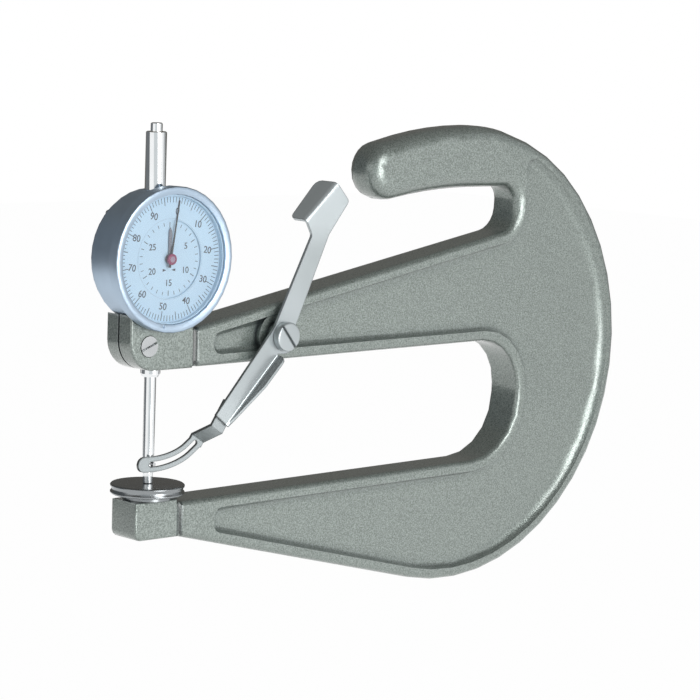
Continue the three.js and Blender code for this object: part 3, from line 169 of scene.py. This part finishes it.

# Steps between the heads of the frame and its arms, with painted shade: a dark line on the step and
# a darker strip on the slope behind it
LOWER_STEP = 0.0095
UPPER_STEP = 0.0153
STEP_HEIGHT = 0.02
STEP_LINE = 0.0006
STEP_REACH = 0.003
STEP_FACING = (-0.2, -0.08)

# Sheet steel: painted shade makes its lower sides darker than its faces, and a gain paints the ends
# of the lever lighter and the foot darker
SIDE_FACING = (0.03, 0.12)
SIDE_TOP = (0.075, 0.08)
LEVER_RISE = (0.03, 0.14)
LEVER_END_LIGHT = 1.28
FOOT_END_SHADE = 0.94
TAB_GAIN_SHARE = 0.95
BRUSH_STRETCH = (1, 1, 18)
BRUSH_TURN = math.radians(-62)

# Other metals and the hub
HANDLED_SHADE = 0.94
TURNING_STRETCH = (1, 12, 1)
HUB_RIM = 0.0023

# Fine surfaces
SMOOTH_ANGLE = math.radians(50)
CORNER_GAP = 1e-6

# Stage and light
FLOOR_DEPTH = 0.22
FLOOR_SIZE = 8.0
FLOOR_SHADE = 0.85
FLOOR_GLOW_SHARE = 0.985
WORLD_LEVEL = 0.33
KEY_PLACE = (0.1, -1.4, 0.25)
KEY_WIDTH = 0.65
KEY_HEIGHT = 1.6
KEY_POWER = 16

# Cards that only mirrors see. Each standing one has a name, a direction in degrees clockwise from
# +Y, a width and a shade.
CEILING_SIZE = 4.4
CEILING_RISE = 1.2
CEILING_SHADE = (0.15, 0.148, 0.142)
CARD_DISTANCE = 1.5
CARD_HEIGHT = 3.0
CARD_RISE = 1.2
STANDING_CARDS = (
    ("dark_backdrop", 42, 4.4, (0.14, 0.135, 0.125)),
    ("dim_left", 318, 1.7, (0.16, 0.17, 0.18)),
    ("dim_right", 113, 0.8, (0.5, 0.51, 0.52)),
    ("camera_side", 223, 1.0, (0.66, 0.69, 0.70)),
)


# Node graphs
class Graph:
    """Short ways to add and join shader nodes."""

    def __init__(self, tree):
        self.tree = tree
        self.shader = tree.nodes.get("Principled BSDF")

    def add(self, kind, **settings):
        node = self.tree.nodes.new(kind)
        for key, value in settings.items():
            setattr(node, key, value)
        return node

    def join(self, source, target):
        self.tree.links.new(source, target)

    def math(self, operation, *values):
        """One sum on values that are sockets or plain numbers."""
        node = self.add("ShaderNodeMath", operation=operation)
        for socket, value in zip(node.inputs, values):
            if isinstance(value, float):
                socket.default_value = value
            else:
                self.join(value, socket)
        return node.outputs[0]

    def place(self, stretch=(1, 1, 1), turn=(0, 0, 0), shift=(0, 0, 0)):
        """The point on the object, stretched, turned and shifted."""
        source = self.add("ShaderNodeTexCoord")
        mapping = self.add("ShaderNodeMapping")
        mapping.inputs["Scale"].default_value = stretch
        mapping.inputs["Rotation"].default_value = turn
        mapping.inputs["Location"].default_value = shift
        self.join(source.outputs["Object"], mapping.inputs["Vector"])
        return mapping.outputs["Vector"]

    def axes(self, where):
        """The three parts of a place or direction, by name."""
        node = self.add("ShaderNodeSeparateXYZ")
        self.join(where, node.inputs["Vector"])
        return node.outputs

    def facing(self):
        """The three parts of the object's own normal."""
        return self.axes(self.add("ShaderNodeTexCoord").outputs["Normal"])

    def noise(self, where, scale, detail=2.0, roughness=0.5):
        node = self.add("ShaderNodeTexNoise")
        node.inputs["Scale"].default_value = scale
        node.inputs["Detail"].default_value = detail
        node.inputs["Roughness"].default_value = roughness
        self.join(where, node.inputs["Vector"])
        return node.outputs["Fac"]

    def cells(self, where, scale, smoothness):
        node = self.add("ShaderNodeTexVoronoi", feature="SMOOTH_F1")
        node.inputs["Scale"].default_value = scale
        node.inputs["Smoothness"].default_value = smoothness
        self.join(where, node.inputs["Vector"])
        return node.outputs["Distance"]

    def openness(self, reach, inside=False):
        """Low in hollows, or with inside, low at sharp outer edges."""
        node = self.add("ShaderNodeAmbientOcclusion", samples=OPENNESS_SAMPLES, inside=inside,
                        only_local=True)
        node.inputs["Distance"].default_value = reach
        return node.outputs["AO"]

    def blend(self, kind, first, second):
        node = self.add("ShaderNodeMix", data_type="RGBA", blend_type=kind)
        node.inputs["Factor"].default_value = 1.0
        self.join(first, node.inputs["A"])
        self.join(second, node.inputs["B"])
        return node.outputs["Result"]

    def spread(self, value, low, high, out_low=0.0, out_high=1.0):
        node = self.add("ShaderNodeMapRange")
        node.inputs["From Min"].default_value = low
        node.inputs["From Max"].default_value = high
        node.inputs["To Min"].default_value = out_low
        node.inputs["To Max"].default_value = out_high
        self.join(value, node.inputs["Value"])
        return node.outputs["Result"]

    def vary(self, noise, low, high):
        """A number that a noise moves between two others."""
        return self.spread(noise, NOISE_LOW, NOISE_HIGH, low, high)

    def colours(self, value, *stops):
        """A ramp of (place, colour) stops."""
        node = self.add("ShaderNodeValToRGB")
        elements = node.color_ramp.elements
        for element, (place, colour) in zip(elements, (stops[0], stops[-1])):
            element.position = place
            element.color = (*colour, 1)
        for place, colour in stops[1:-1]:
            elements.new(place).color = (*colour, 1)
        self.join(value, node.inputs["Fac"])
        return node.outputs["Color"]

    def tint(self, noise, dark, light):
        """A colour that a noise moves between two others."""
        return self.colours(noise, (NOISE_LOW, dark), (NOISE_HIGH, light))

    def bump(self, height, distance, strength, under=None):
        node = self.add("ShaderNodeBump")
        node.inputs["Distance"].default_value = distance
        node.inputs["Strength"].default_value = strength
        self.join(height, node.inputs["Height"])
        if under is not None:
            self.join(under, node.inputs["Normal"])
        return node.outputs["Normal"]

    def seen(self):
        """1 where a ray comes from the camera, a mirror or glass, and 0 for soft light."""
        path = self.add("ShaderNodeLightPath").outputs
        mirrored = self.math("MAXIMUM", path["Is Camera Ray"], path["Is Glossy Ray"])
        return self.math("MAXIMUM", mirrored, path["Is Transmission Ray"])

    def set(self, **values):
        for key, value in values.items():
            self.shader.inputs[key.replace("_", " ")].default_value = value

    def feed(self, **sources):
        for key, source in sources.items():
            self.join(source, self.shader.inputs[key.replace("_", " ")])


def new_material(name):
    material = bpy.data.materials.new(name)
    material.use_nodes = True
    return material, Graph(material.node_tree)


# Places on the dial
def dial_axis(node="dial_plate"):
    """The middle of the dial, on the front of the node that carries the print."""
    low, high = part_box("bezel")
    return Vector(((low.x + high.x) / 2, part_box(node)[0].y, (low.z + high.z) / 2))


def on_dial(node, radius, turn):
    """A place on a dial, turned clockwise from the top as seen from the front."""
    return dial_axis(node) + Vector((radius * math.sin(turn), 0, radius * math.cos(turn)))


# Materials
def paint_steps(graph, where):
    """Painted shade at the steps of the arms: a thin dark line on the step and a darker strip on
    the slope behind it. Also a mask that is white away from the steps."""
    axes = graph.axes(where)
    step = graph.spread(axes["Z"], STEP_HEIGHT, STEP_HEIGHT + STEP_LINE, LOWER_STEP, UPPER_STEP)
    apart = graph.math("ABSOLUTE", graph.math("SUBTRACT", axes["X"], step))
    distance = graph.spread(apart, 0, STEP_REACH)
    line_share = STEP_LINE / STEP_REACH
    line = graph.colours(distance, (line_share / 2, STEP_LINE_SHADE), (line_share, WHITE))
    off_slope = graph.spread(graph.facing()["X"], *STEP_FACING)
    strip = graph.colours(distance, (0.2, STEP_SHADE_DARK), (0.6, STEP_SHADE_LIGHT), (0.8, WHITE))
    slope = graph.blend("LIGHTEN", graph.colours(off_slope, (0, BLACK), (1, WHITE)), strip)
    away = graph.colours(distance, (0.6, BLACK), (0.9, WHITE))
    return graph.blend("MULTIPLY", line, slope), away


def hammer_paint():
    """Grey green metallic paint with fine dimples, with painted shade in hollows, corners and at
    the steps of the arms, and a painted highlight on sharp edges.
    """
    material, graph = new_material("hammer_paint")
    where = graph.place()
    grain = graph.noise(where, scale=1700, detail=3, roughness=0.6)
    dimples = graph.cells(where, scale=1100, smoothness=0.6)
    drift = graph.noise(where, scale=22)
    speckle = graph.colours(grain, (0.32, PAINT_DARK), (0.68, PAINT_LIGHT))
    # Painted shade: darker in hollows and corners.
    hollows = graph.colours(graph.openness(HOLLOW_REACH), (0.5, HOLLOW_SHADE), (0.95, WHITE))
    corners = graph.colours(graph.openness(CORNER_REACH), (0.6, CORNER_SHADE), (0.93, WHITE))
    # Painted highlight: lighter on sharp outer edges, except near the steps.
    edges = graph.colours(graph.openness(EDGE_REACH, inside=True), (0.35, EDGE_HIGHLIGHT), (0.7, BLACK))
    steps, away = paint_steps(graph, where)
    shaded = graph.blend("MULTIPLY", graph.blend("MULTIPLY", speckle, hollows), corners)
    step_shaded = graph.blend("MULTIPLY", shaded, steps)
    dimpled = graph.bump(dimples, distance=0.0001, strength=0.7)
    graph.feed(
        Base_Color=graph.blend("ADD", step_shaded, graph.blend("MULTIPLY", edges, away)),
        Roughness=graph.vary(drift, 0.32, 0.4),
        Normal=graph.bump(grain, distance=0.00009, strength=0.9, under=dimpled),
    )
    graph.set(Metallic=0.6, Coat_Weight=1.0, Coat_Roughness=0.15)
    return material


def polished(name, colour, low_roughness, high_roughness):
    """Bright metal whose gloss varies a little with handling."""
    material, graph = new_material(name)
    where = graph.place()
    drift = graph.noise(where, scale=160, detail=3)
    fine = graph.noise(where, scale=1500)
    handled = tuple(HANDLED_SHADE * part for part in colour)
    graph.feed(
        Base_Color=graph.tint(drift, handled, colour),
        Roughness=graph.vary(drift, low_roughness, high_roughness),
        Normal=graph.bump(fine, distance=0.000004, strength=0.5),
    )
    graph.set(Metallic=1.0)
    return material


def satin_chrome():
    """Matt plating with fine turning lines round the dial axis."""
    material, graph = new_material("satin_chrome")
    lines = graph.noise(graph.place(stretch=TURNING_STRETCH), scale=1200)
    drift = graph.noise(graph.place(), scale=60)
    graph.feed(
        Base_Color=graph.tint(drift, SATIN_DARK, SATIN_LIGHT),
        Roughness=graph.vary(lines, 0.34, 0.44),
        Normal=graph.bump(lines, distance=0.000002, strength=0.4),
    )
    graph.set(Metallic=0.85)
    return material


def sheet_shade(graph, side_shade, end_gain):
    """Painted shade on the lower sides and in the bends, and a gain that paints the two ends
    lighter above one and darker below it.
    """
    rise = graph.axes(graph.place())["Z"]
    # Painted shade on lower sides that turn from the front, and in bends
    faces_front = graph.spread(graph.math("ABSOLUTE", graph.facing()["Y"]), *SIDE_FACING)
    sides = graph.colours(faces_front, (0, side_shade), (1, WHITE))
    above = graph.colours(graph.spread(rise, *SIDE_TOP), (0, BLACK), (1, WHITE))
    # The gain paints the ends lighter above one and darker below it
    foot_gain = (end_gain,) * 3
    tab_gain = (end_gain * TAB_GAIN_SHARE,) * 3
    ends = graph.colours(graph.spread(rise, *LEVER_RISE), (0.05, foot_gain), (0.32, WHITE),
                         (0.77, WHITE), (0.86, tab_gain))
    inner_bends = graph.colours(graph.openness(BEND_REACH), (0.5, BEND_SHADE), (0.85, WHITE))
    outer_bends = graph.colours(graph.openness(BEND_REACH, inside=True), (0.5, BEND_SHADE),
                                (0.85, WHITE))
    bends = graph.blend("MULTIPLY", inner_bends, outer_bends)
    lower_sides = graph.blend("LIGHTEN", sides, above)
    return graph.blend("MULTIPLY", lower_sides, graph.blend("MULTIPLY", ends, bends))


def sheet_steel(name, side_shade, end_gain=1.0):
    """Brushed sheet steel, its lines along the lower strip of the lever, with the painted shade and
    light of sheet_shade.
    """
    material, graph = new_material(name)
    lines = graph.noise(graph.place(stretch=BRUSH_STRETCH, turn=(0, BRUSH_TURN, 0)), scale=700)
    drift = graph.noise(graph.place(), scale=40)
    tone = graph.tint(drift, SHEET_DARK, SHEET_LIGHT)
    graph.feed(
        Base_Color=graph.blend("MULTIPLY", tone, sheet_shade(graph, side_shade, end_gain)),
        Roughness=graph.vary(lines, 0.28, 0.36),
        Normal=graph.bump(lines, distance=0.000001, strength=0.3),
    )
    graph.set(Metallic=0.6)
    return material


def dial_paint():
    """Pale blue lacquer with a faint grain."""
    material, graph = new_material("dial_face")
    where = graph.place()
    drift = graph.noise(where, scale=45)
    speckle = graph.noise(where, scale=4000)
    graph.feed(
        Base_Color=graph.tint(drift, DIAL_DARK, DIAL_LIGHT),
        Normal=graph.bump(speckle, distance=0.000006, strength=0.3),
    )
    graph.set(Roughness=0.55)
    return material


def printed(name, colour):
    """Ink or lacquer, a little uneven."""
    material, graph = new_material(name)
    speckle = graph.noise(graph.place(), scale=3000)
    thin = tuple(part * THIN_PRINT_GAIN + THIN_PRINT_LIFT for part in colour)
    graph.feed(Base_Color=graph.tint(speckle, colour, thin))
    graph.set(Roughness=0.5)
    return material


def hub_paint():
    """A dark red rim round the grey end of the arbor."""
    material, graph = new_material("hub_red")
    axis = dial_axis()
    flat = graph.add("ShaderNodeVectorMath", operation="MULTIPLY")
    flat.inputs[1].default_value = (1, 0, 1)
    reach = graph.add("ShaderNodeVectorMath", operation="LENGTH")
    graph.join(graph.place(shift=(-axis.x, 0, -axis.z)), flat.inputs[0])
    graph.join(flat.outputs["Vector"], reach.inputs[0])
    out = graph.spread(reach.outputs["Value"], 0, HUB_RIM)
    drift = graph.noise(graph.place(), scale=900)
    graph.feed(
        Base_Color=graph.colours(out, (0.45, HUB_CENTRE), (0.6, HUB_RED)),
        Roughness=graph.vary(drift, 0.3, 0.4),
    )
    return material


def clear_crystal():
    """Clear window: a faint gloss over what lies behind it."""
    material, graph = new_material("crystal")
    speckle = graph.noise(graph.place(), scale=300)
    graph.feed(Roughness=graph.vary(speckle, 0.02, 0.05))
    graph.set(Base_Color=CRYSTAL_TINT, Alpha=0.05, Specular_IOR_Level=0.5)
    material.surface_render_method = "BLENDED"
    return material


SLOT_MATERIALS = {
    "hammer_paint": hammer_paint(),
    "chrome": polished("chrome", CHROME, 0.06, 0.12),
    "steel": polished("steel", STEEL, 0.22, 0.34),
    "sheet_steel": sheet_steel("sheet_steel", SHEET_SIDE_SHADE, LEVER_END_LIGHT),
    "satin_chrome": satin_chrome(),
    "brass": polished("brass", BRASS, 0.25, 0.38),
    "dial_face": dial_paint(),
    "hand_black": printed("hand_black", HAND_BLACK),
    "hub_red": hub_paint(),
    "crystal": clear_crystal(),
}
NODE_MATERIALS = {
    "clamp_screw": polished("screw_steel", SCREW_STEEL, 0.16, 0.26),
    "anvil": polished("ground_steel", GROUND_STEEL, 0.22, 0.3),
    "lever_foot": sheet_steel("foot_steel", SHEET_SIDE_SHADE, FOOT_END_SHADE),
    "lever_pivot_screw": sheet_steel("pivot_steel", SCREW_SIDE_SHADE),
    "revolution_hand": printed("hand_grey", HAND_GREY),
}
INK = printed("dial_ink", INK_COLOUR)
PALE_INK = printed("pale_ink", PALE_INK_COLOUR)


def dress_nodes():
    """Each CAD node gets the finish of its own slot in the record, or its own shade of it."""
    for part in frame["record"]["subparts"]:
        node = NODES[part["node"]]
        slot_material = SLOT_MATERIALS[part["material_slot"]]
        node.data.materials.clear()
        node.data.materials.append(NODE_MATERIALS.get(part["node"], slot_material))


# Dial markings. The outer ones lie on the scale ring, which turns with the bezel, and the inner
# ones on the fixed plate behind it.
def finish_print(piece, body, ink):
    piece.data.materials.append(ink)
    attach(piece, body)


def printed_shapes(name, outlines, node, body, ink=INK):
    """One mesh of thin closed prints, each a flat outline of (x, z) places on a dial."""
    mesh = bmesh.new()
    front = dial_axis(node).y - PRINT_RISE
    for outline in outlines:
        face = mesh.faces.new([mesh.verts.new((x, front, z)) for x, z in outline])
        grown = bmesh.ops.extrude_face_region(mesh, geom=[face])
        moved = [v for v in grown["geom"] if isinstance(v, bmesh.types.BMVert)]
        bmesh.ops.translate(mesh, verts=moved, vec=(0, -PRINT_THICKNESS, 0))
    bmesh.ops.recalc_face_normals(mesh, faces=mesh.faces)
    data = bpy.data.meshes.new(name)
    mesh.to_mesh(data)
    mesh.free()
    piece = bpy.data.objects.new(name, data)
    bpy.context.scene.collection.objects.link(piece)
    finish_print(piece, body, ink)


def radial_strip(turn, inner, outer, width):
    """Outline of a straight strip that lies along a radius of the dial."""
    centre = dial_axis()
    middle = Vector((centre.x, centre.z))
    along = Vector((math.sin(turn), math.cos(turn)))
    across = Vector((along.y, -along.x)) * (width / 2)
    inner_end = middle + along * inner
    outer_end = middle + along * outer
    return [inner_end - across, inner_end + across, outer_end + across, outer_end - across]


def tick_ring(divisions, start, outer, rows):
    """Outlines of a ring of ticks, each with the first of the rows whose step fits it."""
    outlines = []
    for i in range(divisions):
        turn = start + 2 * math.pi * i / divisions
        length, width = next((length, width) for step, length, width in rows if i % step == 0)
        outlines.append(radial_strip(turn, outer - length, outer, width))
    return outlines


def scale_ticks():
    outlines = tick_ring(SCALE_DIVISIONS, SCALE_TURN, SCALE_TICK_OUTER, SCALE_TICKS)
    printed_shapes("scale_ticks", outlines, "scale_ring", "dial_ring")


def scale_line():
    """A fine printed circle, as short straight pieces, beside the bore of the scale ring."""
    step = 2 * SCALE_LINE_RADIUS * math.tan(math.pi / SCALE_LINE_STEPS)
    inner = SCALE_LINE_RADIUS - SCALE_LINE_WIDTH / 2
    outer = SCALE_LINE_RADIUS + SCALE_LINE_WIDTH / 2
    outlines = [radial_strip(2 * math.pi * i / SCALE_LINE_STEPS, inner, outer, step)
                for i in range(SCALE_LINE_STEPS)]
    printed_shapes("scale_line", outlines, "scale_ring", "dial_ring", PALE_INK)


def counter_ticks():
    outlines = tick_ring(COUNTER_DIVISIONS, 0, COUNTER_TICK_OUTER, COUNTER_TICKS)
    printed_shapes("counter_ticks", outlines, "dial_plate", "stand")


def counter_arrows():
    """Two small arrowheads that face each other below the hub."""
    centre = dial_axis()
    z = centre.z - ARROW_DROP
    outlines = []
    for x, side in ARROW_PLACES:
        tip_x = centre.x + x + side * ARROW_LENGTH / 2
        back_x = centre.x + x - side * ARROW_LENGTH / 2
        back_corners = [(back_x, z + ARROW_HALF_HEIGHT), (back_x, z - ARROW_HALF_HEIGHT)]
        outlines.append([(tip_x, z), *back_corners])
    printed_shapes("counter_arrows", outlines, "dial_plate", "stand")


def number(name, value, node, radius, turn, height, lean, body):
    """A printed number that leans with the scale it belongs to."""
    curve = bpy.data.curves.new(name, "FONT")
    curve.body = str(value)
    curve.size = height / FONT_CAP_SHARE
    curve.align_x = "CENTER"
    curve.align_y = "CENTER"
    curve.extrude = PRINT_THICKNESS / 2
    curve.offset = FONT_WEIGHT
    curve.resolution_u = FONT_STEPS
    piece = bpy.data.objects.new(name, curve)
    bpy.context.scene.collection.objects.link(piece)
    place = on_dial(node, radius, turn)
    place.y -= PRINT_RISE + PRINT_THICKNESS / 2
    upright = Euler((math.radians(90), lean, 0)).to_matrix().to_4x4()
    piece.matrix_world = Matrix.Translation(place) @ upright
    finish_print(piece, body, INK)


def scale_numbers():
    for value in range(0, SCALE_DIVISIONS, SCALE_NUMBER_STEP):
        turn = SCALE_TURN + 2 * math.pi * value / SCALE_DIVISIONS
        number(f"scale_number_{value}", value, "scale_ring", SCALE_NUMBER_RADIUS, turn,
               SCALE_NUMBER_HEIGHT, SCALE_TURN, "dial_ring")


def counter_numbers():
    for value in COUNTER_NUMBERS:
        turn = 2 * math.pi * value / COUNTER_DIVISIONS
        number(f"counter_number_{value}", value, "dial_plate", COUNTER_NUMBER_RADIUS, turn,
               COUNTER_NUMBER_HEIGHT, 0, "stand")


# Fine surfaces on the CAD nodes
def smooth_by_angle():
    """Geometry nodes that join the faces' corners and shade faces smooth where they meet under
    an angle."""
    tree = bpy.data.node_groups.new("smooth_by_angle", "GeometryNodeTree")
    tree.interface.new_socket("Geometry", in_out="INPUT", socket_type="NodeSocketGeometry")
    tree.interface.new_socket("Geometry", in_out="OUTPUT", socket_type="NodeSocketGeometry")
    start = tree.nodes.new("NodeGroupInput")
    end = tree.nodes.new("NodeGroupOutput")
    plain = tree.nodes.new("GeometryNodeRemoveAttribute")
    plain.inputs["Name"].default_value = "custom_normal"
    whole = tree.nodes.new("GeometryNodeMergeByDistance")
    whole.inputs["Distance"].default_value = CORNER_GAP
    faces = tree.nodes.new("GeometryNodeSetShadeSmooth")
    edges = tree.nodes.new("GeometryNodeSetShadeSmooth")
    edges.domain = "EDGE"
    angle = tree.nodes.new("GeometryNodeInputMeshEdgeAngle")
    gentle = tree.nodes.new("FunctionNodeCompare")
    gentle.operation = "LESS_THAN"
    gentle.inputs["B"].default_value = SMOOTH_ANGLE
    tree.links.new(start.outputs[0], plain.inputs["Geometry"])
    tree.links.new(plain.outputs["Geometry"], whole.inputs["Geometry"])
    tree.links.new(whole.outputs["Geometry"], faces.inputs["Geometry"])
    tree.links.new(faces.outputs["Geometry"], edges.inputs["Geometry"])
    tree.links.new(angle.outputs["Unsigned Angle"], gentle.inputs["A"])
    tree.links.new(gentle.outputs["Result"], edges.inputs["Shade Smooth"])
    tree.links.new(edges.outputs["Geometry"], end.inputs[0])
    return tree


def smooth_nodes():
    tree = smooth_by_angle()
    for node in NODES.values():
        node.modifiers.new("smooth_by_angle", "NODES").node_group = tree
        weighted = node.modifiers.new("even_shading", "WEIGHTED_NORMAL")
        weighted.keep_sharp = True


# Stage and light
def floor_material():
    """Plain and pale, white to the camera, to mirrors and through glass."""
    material, graph = new_material("pale_floor")
    graph.tree.nodes.remove(graph.shader)
    diffuse = graph.add("ShaderNodeBsdfDiffuse")
    diffuse.inputs["Color"].default_value = (FLOOR_SHADE, FLOOR_SHADE, FLOOR_SHADE, 1)
    white = graph.add("ShaderNodeEmission")
    mixed = graph.add("ShaderNodeMixShader")
    graph.join(graph.math("MULTIPLY", graph.seen(), FLOOR_GLOW_SHARE), mixed.inputs["Fac"])
    graph.join(diffuse.outputs[0], mixed.inputs[1])
    graph.join(white.outputs[0], mixed.inputs[2])
    graph.join(mixed.outputs[0], graph.tree.nodes["Material Output"].inputs["Surface"])
    return material


def flat_sheet(name, width, depth, place, turn, material):
    corners = [(-width / 2, -depth / 2, 0), (width / 2, -depth / 2, 0),
               (width / 2, depth / 2, 0), (-width / 2, depth / 2, 0)]
    data = bpy.data.meshes.new(name)
    data.from_pydata(corners, [], [(0, 1, 2, 3)])
    data.materials.append(material)
    sheet = bpy.data.objects.new(name, data)
    sheet.location = place
    sheet.rotation_euler = turn
    bpy.context.scene.collection.objects.link(sheet)
    return sheet


def floor():
    place = (0, 0, CAD_BOX[0].z - FLOOR_DEPTH)
    flat_sheet("floor", FLOOR_SIZE, FLOOR_SIZE, place, (0, 0, 0), floor_material())


def world():
    """Soft light all round, and white to the camera, to mirrors and through glass."""
    surroundings = bpy.data.worlds.new("studio")
    surroundings.use_nodes = True
    graph = Graph(surroundings.node_tree)
    background = graph.tree.nodes["Background"]
    background.inputs["Color"].default_value = (*WHITE, 1)
    level = graph.spread(graph.seen(), 0, 1, WORLD_LEVEL, 1.0)
    graph.join(level, background.inputs["Strength"])
    bpy.context.scene.world = surroundings


def mirror_card(name, width, depth, place, turn, shade):
    """A card that only mirrors see."""
    material, graph = new_material(name + "_tone")
    graph.set(Base_Color=(*BLACK, 1), Roughness=1.0, Specular_IOR_Level=0.0)
    graph.set(Emission_Color=(*shade, 1), Emission_Strength=1.0)
    sheet = flat_sheet(name, width, depth, place, turn, material)
    sheet.visible_camera = False
    sheet.visible_diffuse = False
    sheet.visible_shadow = False


def ceiling_card():
    place = (0, 0, CEILING_RISE)
    mirror_card("dark_ceiling", CEILING_SIZE, CEILING_SIZE, place, (0, 0, 0), CEILING_SHADE)


def standing_card(name, azimuth, width, shade):
    """A tall card that faces the object."""
    turn = math.radians(azimuth)
    x = CENTRE.x + CARD_DISTANCE * math.sin(turn)
    y = CENTRE.y + CARD_DISTANCE * math.cos(turn)
    upright = (math.radians(90), 0, -turn)
    mirror_card(name, width, CARD_HEIGHT, (x, y, CARD_RISE), upright, shade)


def key_light():
    """One large soft lamp in front of the object."""
    data = bpy.data.lights.new("key_light", "AREA")
    data.energy = KEY_POWER
    data.shape = "RECTANGLE"
    data.size = KEY_WIDTH
    data.size_y = KEY_HEIGHT
    lamp = bpy.data.objects.new("key_light", data)
    lamp.location = KEY_PLACE
    lamp.rotation_euler = (CENTRE - Vector(KEY_PLACE)).to_track_quat("-Z", "Y").to_euler()
    bpy.context.scene.collection.objects.link(lamp)


# Camera
def camera():
    """Placed so that the middle of the anvil's top falls on its pixel in the photograph."""
    back = Vector((math.sin(CAMERA_AZIMUTH) * math.cos(CAMERA_ELEVATION),
                   -math.cos(CAMERA_AZIMUTH) * math.cos(CAMERA_ELEVATION),
                   math.sin(CAMERA_ELEVATION)))
    level_right = (-back).cross(Vector((0, 0, 1))).normalized()
    level_up = level_right.cross(-back)
    right = level_right * math.cos(CAMERA_ROLL) + level_up * math.sin(CAMERA_ROLL)
    up = level_up * math.cos(CAMERA_ROLL) - level_right * math.sin(CAMERA_ROLL)
    low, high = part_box("anvil")
    anvil_top = Vector(((low.x + high.x) / 2, (low.y + high.y) / 2, high.z))
    scale = CAMERA_DISTANCE / FOCAL_PIXELS
    offset_right = (ANVIL_PIXEL[0] - IMAGE_SIZE / 2) * scale
    offset_up = (IMAGE_SIZE / 2 - ANVIL_PIXEL[1]) * scale
    place = anvil_top - right * offset_right - up * offset_up + back * CAMERA_DISTANCE
    data = bpy.data.cameras.new("camera")
    data.sensor_width = SENSOR_WIDTH
    data.lens = FOCAL_PIXELS / IMAGE_SIZE * SENSOR_WIDTH
    eye = bpy.data.objects.new("camera", data)
    axes = Matrix((right, up, back)).transposed().to_4x4()
    eye.matrix_world = Matrix.Translation(place) @ axes
    bpy.context.scene.collection.objects.link(eye)
    bpy.context.scene.camera = eye


bpy.context.scene.view_settings.view_transform = "Standard"
dress_nodes()
smooth_nodes()
scale_ticks()
scale_line()
counter_ticks()
counter_arrows()
scale_numbers()
counter_numbers()
floor()
world()
ceiling_card()
for card in STANDING_CARDS:
    standing_card(*card)
key_light()
camera()
